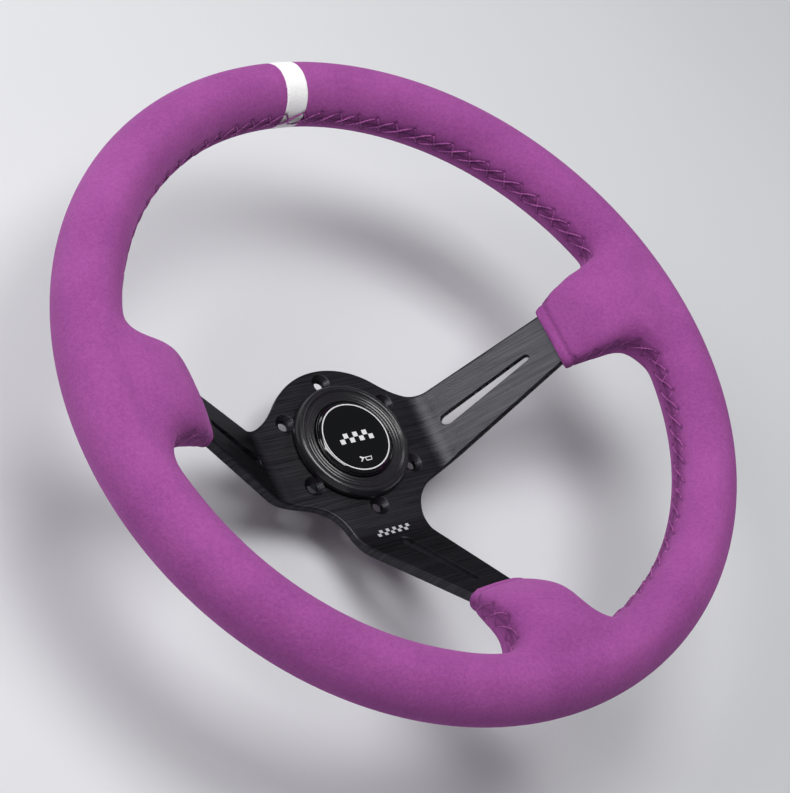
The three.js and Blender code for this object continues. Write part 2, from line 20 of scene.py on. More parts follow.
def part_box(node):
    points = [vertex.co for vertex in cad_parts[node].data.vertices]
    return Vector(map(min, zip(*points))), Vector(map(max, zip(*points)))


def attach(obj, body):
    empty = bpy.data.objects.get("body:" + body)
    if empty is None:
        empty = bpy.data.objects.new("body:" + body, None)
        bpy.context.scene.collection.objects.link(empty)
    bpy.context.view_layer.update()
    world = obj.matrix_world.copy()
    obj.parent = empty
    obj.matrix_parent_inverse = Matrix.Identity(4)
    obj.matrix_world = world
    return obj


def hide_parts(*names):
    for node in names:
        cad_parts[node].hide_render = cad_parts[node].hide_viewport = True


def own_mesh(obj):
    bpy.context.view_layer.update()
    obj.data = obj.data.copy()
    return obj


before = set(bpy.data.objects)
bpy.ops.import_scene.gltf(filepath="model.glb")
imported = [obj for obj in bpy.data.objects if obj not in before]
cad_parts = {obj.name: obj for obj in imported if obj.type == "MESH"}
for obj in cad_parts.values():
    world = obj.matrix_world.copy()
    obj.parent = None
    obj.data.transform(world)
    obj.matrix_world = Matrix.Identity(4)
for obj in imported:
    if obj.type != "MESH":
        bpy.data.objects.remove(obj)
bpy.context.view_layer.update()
LOG = logging.getLogger("steering_wheel")
MM = 0.001
Point = tuple[float, float, float]
Colour = tuple[int, int, int]
Profile = list[tuple[float, float]]
Levels = list[tuple[float, float]]
Rows = list[list[int]]


# ---- Bench tools ----------------------------------------------------------------------


class Bench:
    """Modelling operations that every piece uses."""

    @staticmethod
    def clear() -> None:
        """Deselects everything in object mode."""
        if bpy.context.object is not None and bpy.context.object.mode != "OBJECT":
            bpy.ops.object.mode_set(mode="OBJECT")
        bpy.ops.object.select_all(action="DESELECT")

    @staticmethod
    def pick(*pieces: bpy.types.Object) -> None:
        """Selects only these pieces and makes the first one active."""
        Bench.clear()
        for piece in pieces:
            piece.select_set(True)
        bpy.context.view_layer.objects.active = pieces[0]

    @staticmethod
    def named(name: str) -> bpy.types.Object:
        """Names the active object and its mesh."""
        piece = bpy.context.object
        piece.name = name
        piece.data.name = name
        return piece

    @staticmethod
    def settle(piece: bpy.types.Object) -> bpy.types.Object:
        """Puts a piece's place into its mesh."""
        Bench.pick(piece)
        bpy.ops.object.transform_apply(location=True, rotation=True, scale=True)
        return piece

    @staticmethod
    def modify(piece: bpy.types.Object, kind: str, **settings: Any) -> None:
        """Adds a modifier and applies it.

        Args:
            piece: the piece that is changed.
            kind: the modifier's type.
            settings: the modifier's own settings.
        """
        Bench.pick(piece)
        modifier = piece.modifiers.new(kind.title(), kind)
        for key, value in settings.items():
            setattr(modifier, key, value)
        bpy.ops.object.modifier_apply(modifier=modifier.name)

    @staticmethod
    def outward(piece: bpy.types.Object, merge: float = 1e-6) -> None:
        """Merges doubles and turns the faces outwards.

        Args:
            piece: the piece that is changed.
            merge: the distance within which points become one, in metres.
        """
        Bench.pick(piece)
        bpy.ops.object.mode_set(mode="EDIT")
        bpy.ops.mesh.select_all(action="SELECT")
        bpy.ops.mesh.remove_doubles(threshold=merge)
        bpy.ops.mesh.normals_make_consistent(inside=False)
        bpy.ops.object.mode_set(mode="OBJECT")

    @staticmethod
    def smooth(piece: bpy.types.Object, degrees: float = 35.0) -> None:
        """Shades a piece smooth, with edges sharper than this angle kept crisp."""
        Bench.pick(piece)
        bpy.ops.object.shade_smooth_by_angle(angle=math.radians(degrees))

    @staticmethod
    def join(name: str, pieces: Sequence[bpy.types.Object]) -> bpy.types.Object:
        """Joins several pieces into the first, which gets the name."""
        Bench.pick(*pieces)
        bpy.ops.object.join()
        return Bench.named(name)

    @staticmethod
    def from_points(name: str, points: np.ndarray,
                    faces: Sequence[Sequence[int]]) -> bpy.types.Object:
        """A mesh object from points in millimetres.

        Args:
            name: the piece's name.
            points: an array of points, three numbers each.
            faces: point numbers of each face.

        Returns:
            The new object, linked to the scene.
        """
        mesh = bpy.data.meshes.new(name)
        places = (np.asarray(points, float) * MM).tolist()
        mesh.from_pydata(places, [], [list(face) for face in faces])
        mesh.update()
        piece = bpy.data.objects.new(name, mesh)
        bpy.context.scene.collection.objects.link(piece)
        return piece

    @staticmethod
    def bands(count: int, rings: int, start: int = 0, closed: bool = False) -> Rows:
        """Faces between neighbouring rings of points.

        Args:
            count: points in each ring.
            rings: how many rings there are.
            start: number of the first ring's first point.
            closed: joins the last ring to the first.

        Returns:
            One four-sided face for each step round each band.
        """
        faces = []
        for ring in range(rings if closed else rings - 1):
            here, there = start + ring * count, start + (ring + 1) % rings * count
            for i in range(count):
                j = (i + 1) % count
                faces.append([here + i, here + j, there + j, there + i])
        return faces

    @staticmethod
    def store(piece: bpy.types.Object, name: str, values: np.ndarray) -> None:
        """Keeps one number for each point of a piece, for its material."""
        attribute = piece.data.attributes.new(name, "FLOAT", "POINT")
        attribute.data.foreach_set("value", values.astype(np.float32))

    @staticmethod
    def points_of(piece: bpy.types.Object) -> np.ndarray:
        """A piece's points as an array, in millimetres."""
        points = np.zeros(len(piece.data.vertices) * 3)
        piece.data.vertices.foreach_get("co", points)
        return points.reshape(-1, 3) / MM

    @staticmethod
    def set_points(piece: bpy.types.Object, points: np.ndarray) -> None:
        """Moves a piece's points to an array of places in millimetres."""
        piece.data.vertices.foreach_set("co", (points * MM).ravel())
        piece.data.update()

    @staticmethod
    def select_points(piece: bpy.types.Object, chosen: np.ndarray) -> None:
        """Selects the points of a piece that a mask marks, ready for edit mode."""
        Bench.pick(piece)
        bpy.ops.object.mode_set(mode="EDIT")
        bpy.ops.mesh.select_mode(type="VERT")
        bpy.ops.mesh.select_all(action="DESELECT")
        bpy.ops.object.mode_set(mode="OBJECT")
        piece.data.vertices.foreach_set("select", chosen.astype(bool))
        bpy.ops.object.mode_set(mode="EDIT")


@dataclass
class Turned:
    """A round piece about the wheel's axis, made by extruding and scaling a circle."""

    name: str
    profile: Profile
    segments: int = 128
    closed: bool = False

    def build(self) -> bpy.types.Object:
        """Makes the piece: its profile is pairs of radius and height, from the back's middle round.

        Returns:
            The finished object, smooth-shaded.
        """
        Bench.clear()
        radius, height = self.profile[0]
        bpy.ops.mesh.primitive_circle_add(
            vertices=self.segments, radius=radius * MM, location=(0, 0, height * MM),
            fill_type="NOTHING" if self.closed else "TRIFAN",
        )
        piece = Bench.named(self.name)
        Bench.settle(piece)
        bpy.ops.object.mode_set(mode="EDIT")
        bpy.ops.mesh.select_mode(type="EDGE")
        bpy.ops.mesh.select_all(action="SELECT")
        if not self.closed:
            bpy.ops.mesh.region_to_loop()
        for old, new in zip(self.profile, self.profile[1:]):
            bpy.ops.mesh.extrude_edges_move()
            bpy.ops.transform.translate(value=(0, 0, (new[1] - old[1]) * MM))
            share = new[0] / old[0]
            bpy.ops.transform.resize(value=(share, share, 1), center_override=(0, 0, new[1] * MM))
        if self.closed:
            bpy.ops.object.mode_set(mode="OBJECT")
            count = len(piece.data.vertices)
            ends = np.zeros(count, bool)
            ends[: self.segments] = True
            ends[count - self.segments:] = True
            Bench.select_points(piece, ends)
            bpy.ops.mesh.select_mode(type="EDGE")
            bpy.ops.mesh.bridge_edge_loops()
        else:
            bpy.ops.mesh.edge_face_add()
            bpy.ops.mesh.poke()
        bpy.ops.object.mode_set(mode="OBJECT")
        Bench.outward(piece)
        Bench.smooth(piece)
        return piece


def rounded(corners: Profile, radius: float, steps: int = 4) -> Profile:
    """Rounds the inner corners of an open profile.

    Args:
        corners: pairs of radius and height.
        radius: how far from each corner the round starts, at most.
        steps: points along each round.

    Returns:
        The profile with its corners rounded; the two ends stay.
    """
    points = [Vector(corner) for corner in corners]
    result: Profile = [corners[0]]
    for before, corner, after in zip(points, points[1:], points[2:]):
        reach = min(radius, (before - corner).length * 0.45, (after - corner).length * 0.45)
        start = corner + (before - corner).normalized() * reach
        end = corner + (after - corner).normalized() * reach
        for step in range(steps + 1):
            share = step / steps
            bend = start.lerp(corner, share).lerp(corner.lerp(end, share), share)
            result.append((bend.x, bend.y))
    return result + [corners[-1]]


# ---- Shader tools ---------------------------------------------------------------------


class Value:
    """A socket in a material, on which arithmetic adds Math nodes."""

    def __init__(self, graph: "Graph", socket: bpy.types.NodeSocket) -> None:
        """Wraps one output socket of a graph."""
        self.graph = graph
        self.socket = socket

    def maths(self, operation: str, *others: "Value | float", swap: bool = False,
              clamp: bool = False) -> "Value":
        """Adds a Math node.

        Args:
            operation: the node's operation.
            others: the other operands.
            swap: puts the first other operand before this one.
            clamp: keeps the result between 0 and 1.

        Returns:
            The node's result.
        """
        operands: list[Any] = [self, *others]
        if swap:
            operands[0], operands[1] = operands[1], operands[0]
        node = self.graph.node(
            "ShaderNodeMath", {"operation": operation, "use_clamp": clamp},
            dict(enumerate(operands)),
        )
        return Value(self.graph, node.outputs[0])

    def __add__(self, other: "Value | float") -> "Value":
        """Sum."""
        return self.maths("ADD", other)

    def __rsub__(self, other: float) -> "Value":
        """Difference, from a number."""
        return self.maths("SUBTRACT", other, swap=True)

    def __mul__(self, other: "Value | float") -> "Value":
        """Product."""
        return self.maths("MULTIPLY", other)

    def __truediv__(self, other: "Value | float") -> "Value":
        """Quotient."""
        return self.maths("DIVIDE", other)

    def sine(self) -> "Value":
        """Sine of an angle in radians."""
        return self.maths("SINE")

    def above(self, low: float, high: float) -> "Value":
        """Rises smoothly from 0 at low to 1 at high."""
        node = self.graph.node(
            "ShaderNodeMapRange", {"interpolation_type": "SMOOTHSTEP"},
            {"Value": self, "From Min": low, "From Max": high, "To Min": 0.0, "To Max": 1.0},
        )
        return Value(self.graph, node.outputs["Result"])


class Graph:
    """The node tree of one material."""

    def __init__(self, name: str) -> None:
        """Starts a material with one Principled shader.

        Args:
            name: the material's name.
        """
        self.material = bpy.data.materials.new(name)
        self.material.use_nodes = True
        self.tree = self.material.node_tree
        self.tree.nodes.clear()
        self.shader = self.node("ShaderNodeBsdfPrincipled")
        output = self.node("ShaderNodeOutputMaterial")
        self.tree.links.new(self.shader.outputs[0], output.inputs["Surface"])

    def node(self, kind: str, settings: dict[str, Any] | None = None,
             inputs: dict[str | int, Any] | None = None) -> bpy.types.Node:
        """Adds a node, sets it up and feeds it.

        Args:
            kind: the node's type.
            settings: its own settings.
            inputs: values or links of its sockets, by name or number.

        Returns:
            The node.
        """
        node = self.tree.nodes.new(kind)
        for key, value in (settings or {}).items():
            setattr(node, key, value)
        for key, value in (inputs or {}).items():
            self._feed(node.inputs[key], value)
        return node

    def _feed(self, socket: bpy.types.NodeSocket, value: Any) -> None:
        """Links a socket to a value, or sets it to a constant."""
        if isinstance(value, Value):
            self.tree.links.new(value.socket, socket)
        elif isinstance(value, bpy.types.NodeSocket):
            self.tree.links.new(value, socket)
        else:
            socket.default_value = value

    def place(self) -> bpy.types.NodeSocket:
        """Object coordinates, in metres."""
        return self.node("ShaderNodeTexCoord").outputs["Object"]

    def stretched(self, scale: Point) -> bpy.types.NodeSocket:
        """Object coordinates, scaled along each axis."""
        node = self.node("ShaderNodeMapping", None, {"Vector": self.place(), "Scale": scale})
        return node.outputs["Vector"]

    def axes(self, vector: bpy.types.NodeSocket) -> tuple[Value, Value, Value]:
        """The three parts of a vector."""
        node = self.node("ShaderNodeSeparateXYZ", None, {0: vector})
        return tuple(Value(self, node.outputs[i]) for i in range(3))

    def noise(self, vector: bpy.types.NodeSocket, scale: float, detail: float = 3.0,
              roughness: float = 0.5) -> Value:
        """Soft noise from 0 to 1."""
        node = self.node("ShaderNodeTexNoise", None, {
            "Vector": vector, "Scale": scale, "Detail": detail, "Roughness": roughness,
        })
        return Value(self, node.outputs[0])

    def cells(self, vector: bpy.types.NodeSocket, scale: float) -> Value:
        """Distance in a cell pattern."""
        node = self.node("ShaderNodeTexVoronoi", None, {"Vector": vector, "Scale": scale})
        return Value(self, node.outputs["Distance"])

    def attribute(self, name: str) -> Value:
        """A number stored on the piece's points."""
        node = self.node("ShaderNodeAttribute", {"attribute_name": name})
        return Value(self, node.outputs["Fac"])

    def mix(self, share: "Value | float", first: Any, second: Any) -> bpy.types.NodeSocket:
        """A colour between two colours."""
        node = self.node("ShaderNodeMix", {"data_type": "RGBA"}, {0: share, 6: first, 7: second})
        return node.outputs[2]

    def tint(self, share: "Value | float", first: Colour, second: Colour) -> bpy.types.NodeSocket:
        """A colour between two screen colours of 0 to 255."""
        return self.mix(share, linear(*first), linear(*second))

    def bump(self, height: Value, distance: float, strength: float = 1.0,
             below: bpy.types.NodeSocket | None = None) -> bpy.types.NodeSocket:
        """A bumped normal.

        Args:
            height: the height pattern, 0 to 1.
            distance: how high 1 is, in metres.
            strength: share of the effect.
            below: a normal that is bumped further.

        Returns:
            The normal socket.
        """
        inputs: dict[str | int, Any] = {
            "Height": height, "Distance": distance, "Strength": strength,
        }
        if below is not None:
            inputs["Normal"] = below
        return self.node("ShaderNodeBump", None, inputs).outputs[0]

    def finish(self, **inputs: Any) -> bpy.types.Material:
        """Feeds the shader's sockets, whose names are given with _ for a space.

        Args:
            inputs: values or links.

        Returns:
            The material.
        """
        for key, value in inputs.items():
            self._feed(self.shader.inputs[key.replace("_", " ")], value)
        return self.material


def linear(red: int, green: int, blue: int) -> tuple[float, float, float, float]:
    """A screen colour of 0 to 255 as the scene-linear colour that shaders use."""
    def part(value: int) -> float:
        """One channel."""
        share = value / 255
        return share / 12.92 if share <= 0.04045 else ((share + 0.055) / 1.055) ** 2.4
    return (part(red), part(green), part(blue), 1.0)


# ---- Finishes -------------------------------------------------------------------------

SEAM_SHADE = "seam_shade"
THREAD_MAP = "thread_map"


@dataclass(frozen=True)
class Suede:
    """Napped suede: a matt, mottled surface, with painted shade mixed in along the seams and in the
    hems' grooves.
    """

    nap: Colour = (172, 88, 162)
    brushed: Colour = (130, 58, 126)
    # Colour of the painted shade in the seams and the hems' grooves.
    hollow: Colour = (40, 8, 42)

    def material(self) -> bpy.types.Material:
        """Builds the suede."""
        graph = Graph("purple_suede")
        place = graph.place()
        fibres = graph.noise(place, 2600, 2, 0.6)
        mottle = graph.noise(place, 620, 4, 0.7)
        strokes = graph.noise(place, 30, 3, 0.6)
        tone = fibres.above(0.3, 0.7) * 0.3 + mottle.above(0.25, 0.75) * 0.4
        cloth = graph.tint(tone + strokes.above(0.25, 0.75) * 0.3, self.brushed, self.nap)
        # Painted shade: the seam_shade attribute darkens the suede towards the hollow colour in the
        # seams, at the stitch holes, along the threads and in the hems' grooves.
        shade = graph.attribute(SEAM_SHADE).maths("MULTIPLY", 0.85, clamp=True)
        colour = graph.mix(shade, cloth, linear(*self.hollow))
        fine = graph.bump(fibres, 0.0003, 0.7)
        normal = graph.bump(mottle, 0.0008, 0.5, fine)
        rough = mottle * 0.1 + 0.86
        return graph.finish(
            Base_Color=colour, Roughness=rough, Normal=normal, Sheen_Weight=0.35,
            Sheen_Roughness=0.45, Sheen_Tint=linear(226, 140, 218), Specular_IOR_Level=0.2,
        )


@dataclass(frozen=True)
class WhiteLeather:
    """Smooth white leather with a fine pebble grain, with painted shade in the seam's creases."""

    face: Colour = (252, 252, 251)
    grain: Colour = (222, 221, 220)
    crease_shade: Colour = (84, 76, 84)

    def material(self) -> bpy.types.Material:
        """Builds the leather."""
        graph = Graph("white_leather")
        place = graph.place()
        pebbles = graph.cells(place, 950).above(0.0, 0.62)
        creases = graph.noise(graph.stretched((1, 1, 0.35)), 520, 4, 0.6)
        skin = graph.tint((1 - pebbles) * 0.25 + creases * 0.12, self.face, self.grain)
        # Painted shade where the lacing draws the leather in.
        shade = graph.attribute(SEAM_SHADE).maths("MULTIPLY", 0.8, clamp=True)
        colour = graph.mix(shade, skin, linear(*self.crease_shade))
        normal = graph.bump(pebbles, 0.00018, 0.6, graph.bump(creases, 0.0004, 0.4))
        return graph.finish(Base_Color=colour, Roughness=creases * 0.2 + 0.45, Normal=normal)


@dataclass(frozen=True)
class TwistedThread:
    """Waxed polyester thread: plies twist round it, with painted shade in the grooves between them.
    """

    light: Colour = (206, 104, 190)
    # dark is the thread's colour in painted shade, light its lit colour.
    dark: Colour = (92, 26, 92)
    twist: float = 1.7

    def material(self) -> bpy.types.Material:
        """Builds the thread."""
        graph = Graph("purple_thread")
        where = graph.node("ShaderNodeUVMap", {"uv_map": THREAD_MAP}).outputs[0]
        along, around, _ = graph.axes(where)
        ply = ((along / self.twist + around * 2) * (2 * math.pi)).sine() * 0.5 + 0.5
        lint = graph.noise(graph.place(), 3000, 2)
        # Brightness that changes at random in patches a few millimetres wide, between the shaded and
        # the lit thread colour.
        blotches = graph.noise(graph.place(), 260, 2).above(0.35, 0.62)
        # Painted shade: the ply term darkens the colour in the grooves between the plies, where the
        # bump is low.
        tone = (ply * 0.35 + lint * 0.15 + 0.2) * (blotches * 0.75 + 0.35)
        colour = graph.tint(tone, self.dark, self.light)
        normal = graph.bump(ply, 0.00025, 0.8)
        return graph.finish(Base_Color=colour, Roughness=lint * 0.2 + 0.5, Normal=normal,
                            Sheen_Weight=0.2, Sheen_Roughness=0.4, Sheen_Tint=linear(220, 120, 206))


@dataclass(frozen=True)
class BrushedAnodised:
    """Black anodised aluminium, brushed along X."""

    base: Colour = (33, 33, 36)
    streak: Colour = (76, 76, 80)

    def material(self) -> bpy.types.Material:
        """Builds the finish."""
        graph = Graph("black_brushed_aluminium")
        fine = graph.noise(graph.stretched((34, 3400, 34)), 1.0, 3, 0.7).above(0.32, 0.68)
        wide = graph.noise(graph.stretched((18, 1500, 18)), 1.0, 3, 0.6).above(0.32, 0.68)
        cloud = graph.noise(graph.place(), 60, 2)
        streaks = fine * 0.5 + wide * 0.5
        colour = graph.tint(streaks * 0.8 + cloud * 0.1, self.base, self.streak)
        rough = streaks * 0.12 + cloud * 0.05 + 0.26
        normal = graph.bump(fine * 0.5 + wide * 0.5, 0.00008, 0.5)
        return graph.finish(Base_Color=colour, Metallic=0.85, Roughness=rough, Normal=normal,
                            Specular_Tint=(0.3, 0.3, 0.31, 1.0))


@dataclass(frozen=True)
class Metal:
    """A bare metal with fine machining lines and slight tarnish."""

    name: str
    colour: Colour
    tarnish: Colour
    rough: float = 0.32
    lines: Point = (300, 300, 2400)

    def material(self) -> bpy.types.Material:
        """Builds the metal."""
        graph = Graph(self.name)
        lines = graph.noise(graph.stretched(self.lines), 1.0, 2)
        cloud = graph.noise(graph.place(), 140, 4, 0.6)
        colour = graph.tint(cloud.above(0.4, 0.75), self.colour, self.tarnish)
        normal = graph.bump(lines, 0.00006, 0.5)
        rough = cloud * 0.2 + lines * 0.08 + (self.rough - 0.1)
        return graph.finish(Base_Color=colour, Metallic=1.0, Roughness=rough, Normal=normal)


@dataclass(frozen=True)
class Moulded:
    """Moulded plastic, rubber or foam: spark texture and faint mottling."""

    name: str
    colour: Colour
    rough: float
    grain: float = 1800
    depth: float = 0.00008
    coat: float = 0.0

    def material(self) -> bpy.types.Material:
        """Builds the moulding."""
        graph = Graph(self.name)
        place = graph.place()
        spark = graph.noise(place, self.grain, 3, 0.6)
        cloud = graph.noise(place, 90, 3)
        dark = tuple(int(part * 0.72) for part in self.colour)
        colour = graph.tint((spark * 0.5 + cloud * 0.5).above(0.25, 0.75), dark, self.colour)
        normal = graph.bump(spark, self.depth, 0.5)
        rough = spark * 0.12 + cloud * 0.06 + (self.rough - 0.09)
        return graph.finish(Base_Color=colour, Roughness=rough, Normal=normal,
                            Coat_Weight=self.coat, Coat_Roughness=0.12)


@dataclass(frozen=True)
class GlossLens:
    """Clear-coated black face with dust-fine polishing marks."""

    colour: Colour = (5, 5, 7)
    haze: Colour = (10, 10, 12)

    def material(self) -> bpy.types.Material:
        """Builds the lens."""
        graph = Graph("gloss_black_lens")
        haze = graph.noise(graph.place(), 300, 4, 0.6)
        colour = graph.tint(haze * 0.5, self.colour, self.haze)
        return graph.finish(Base_Color=colour, Roughness=haze * 0.05 + 0.05, Coat_Weight=1.0,
                            Coat_Roughness=0.02, IOR=1.5)


@dataclass(frozen=True)
class Print:
    """White print under the lens's coat, a little uneven as screen ink is."""

    name: str
    ink: Colour = (238, 238, 238)

    def material(self) -> bpy.types.Material:
        """Builds the ink."""
        graph = Graph(self.name)
        speck = graph.noise(graph.place(), 4000, 2)
        colour = graph.tint(speck, tuple(part - 26 for part in self.ink), self.ink)
        return graph.finish(Base_Color=colour, Roughness=speck * 0.1 + 0.3, Coat_Weight=0.5,
                            Coat_Roughness=0.1)


class Finishes:
    """Every finish of the wheel, built once."""

    def __init__(self) -> None:
        """Builds the materials."""
        self.suede = Suede().material()
        self.leather = WhiteLeather().material()
        self.thread = TwistedThread().material()
        self.plate = BrushedAnodised().material()
        mill = Metal("mill_aluminium", (176, 178, 180), (128, 129, 132), 0.4, (2200, 40, 40))
        self.hoop = mill.material()
        self.steel = Metal("zinc_steel", (168, 171, 174), (112, 112, 116)).material()
        self.brass = Metal("brass_strip", (190, 150, 66), (128, 92, 40), 0.3).material()
        self.foam = Moulded("moulded_foam", (44, 44, 47), 0.95, 900, 0.0006).material()
        self.nylon = Moulded("grey_nylon", (60, 60, 63), 0.6, 1200, 0.00012).material()
        self.rubber = Moulded("black_rubber", (24, 24, 25), 0.85, 1500, 0.00015).material()
        self.satin = Moulded("satin_black", (30, 30, 33), 0.3, 2600, 0.00002, 0.3).material()
        self.gloss = GlossLens().material()
        self.ink = Print("white_print").material()
        self.engraved = Print("pale_engraving", (196, 197, 200)).material()


def dress(piece: bpy.types.Object, material: bpy.types.Material) -> None:
    """Gives a piece one material all over."""
    piece.data.materials.clear()
    piece.data.materials.append(material)


@dataclass(frozen=True)
class Role:
    """What a piece stands for: its body, its finish's slot and the CAD nodes it replaces."""

    body: str
    slot: str
    nodes: tuple[str, ...] = ()


def place_piece(piece: bpy.types.Object, material: bpy.types.Material,
                role: Role) -> bpy.types.Object:
    """Dresses a piece and ties it to the frame.

    Args:
        piece: the finished piece.
        material: its finish.
        role: what it stands for.

    Returns:
        The piece.
    """
    dress(piece, material)
    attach(piece, role.body)
    if role.nodes:
        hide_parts(*role.nodes)
    LOG.info("%s: %d faces", piece.name, len(piece.data.polygons))
    return piece


# ---- Sizes shared by the sub-assemblies -------------------------------------------------


@dataclass(frozen=True)
class WheelSizes:
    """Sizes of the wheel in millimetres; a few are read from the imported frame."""

    outer_radius: float
    rim_centre: float
    lens_top: float
    plate_front: float
    grip_width: float = 30.5
    grip_height: float = 34.0
    hub_radius: float = 42.5
    lug_mouth: float = 107.1
    lower_bend: float = 51.8
    upper_bend: float = 127.9
    bend_radius: float = 22.0
    plate_thickness: float = 5.0
    marker_width: float = 12.0

    @classmethod
    def from_frame(cls) -> "WheelSizes":
        """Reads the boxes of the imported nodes."""
        cover_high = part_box("rim_cover")[1]
        return cls(
            outer_radius=cover_high.x / MM, rim_centre=cover_high.z / MM - 17.0,
            lens_top=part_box("button_lens")[1].z / MM, plate_front=5.0,
        )

    @property
    def rim_radius(self) -> float:
        """Radius of the grip's middle line."""
        return self.outer_radius - self.grip_width / 2

    @property
    def inner_radius(self) -> float:
        """Radius of the grip's innermost line."""
        return self.outer_radius - self.grip_width

    @property
    def tab_height(self) -> float:
        """Height of the middle of the spokes' flat ends."""
        return self.rim_centre - 4.15

    @property
    def spoke_angle(self) -> float:
        """Slope of the spokes."""
        rise = self.tab_height - self.plate_thickness / 2
        return math.atan2(rise, self.upper_bend - self.lower_bend)


@dataclass(frozen=True)
class Edge:
    """A straight edge of a spoke in plan, by its offset at the hub and at the lug's mouth."""

    at_hub: float
    at_mouth: float

    def at(self, sizes: WheelSizes, distance: float) -> float:
        """Offset at a distance from the wheel's axis."""
        share = (distance - sizes.hub_radius) / (sizes.lug_mouth - sizes.hub_radius)
        return self.at_hub + (self.at_mouth - self.at_hub) * share


UPPER_EDGE = Edge(15.0, 24.8)
LOWER_EDGE = Edge(-26.2, -3.3)
FOOT_EDGE = Edge(22.6, 12.9)


class Spoke(Enum):
    """The three spokes: two edges, as if the spoke lay along +X, the lower one's sign, and the
    turn and mirroring that carry it to its place."""

    RIGHT = (UPPER_EDGE, LOWER_EDGE, 1.0, 0.0, 1.0)
    LEFT = (UPPER_EDGE, LOWER_EDGE, 1.0, 0.0, -1.0)
    FOOT = (FOOT_EDGE, FOOT_EDGE, -1.0, -math.pi / 2, 1.0)

    def sides(self, sizes: WheelSizes, distance: float) -> tuple[float, float]:
        """Offsets of the spoke's two edges at a distance from the axis."""
        upper, lower, sign, _, _ = self.value
        return upper.at(sizes, distance), sign * lower.at(sizes, distance)

    def put(self, points: np.ndarray) -> np.ndarray:
        """Carries points from the spoke lying along +X to the spoke's own place."""
        _, _, _, turn, mirror = self.value
        x = points[:, 0] * math.cos(turn) - points[:, 1] * math.sin(turn)
        y = points[:, 0] * math.sin(turn) + points[:, 1] * math.cos(turn)
        return np.stack([x * mirror, y, points[:, 2]], 1)


# ---- Spoke plate ------------------------------------------------------------------------


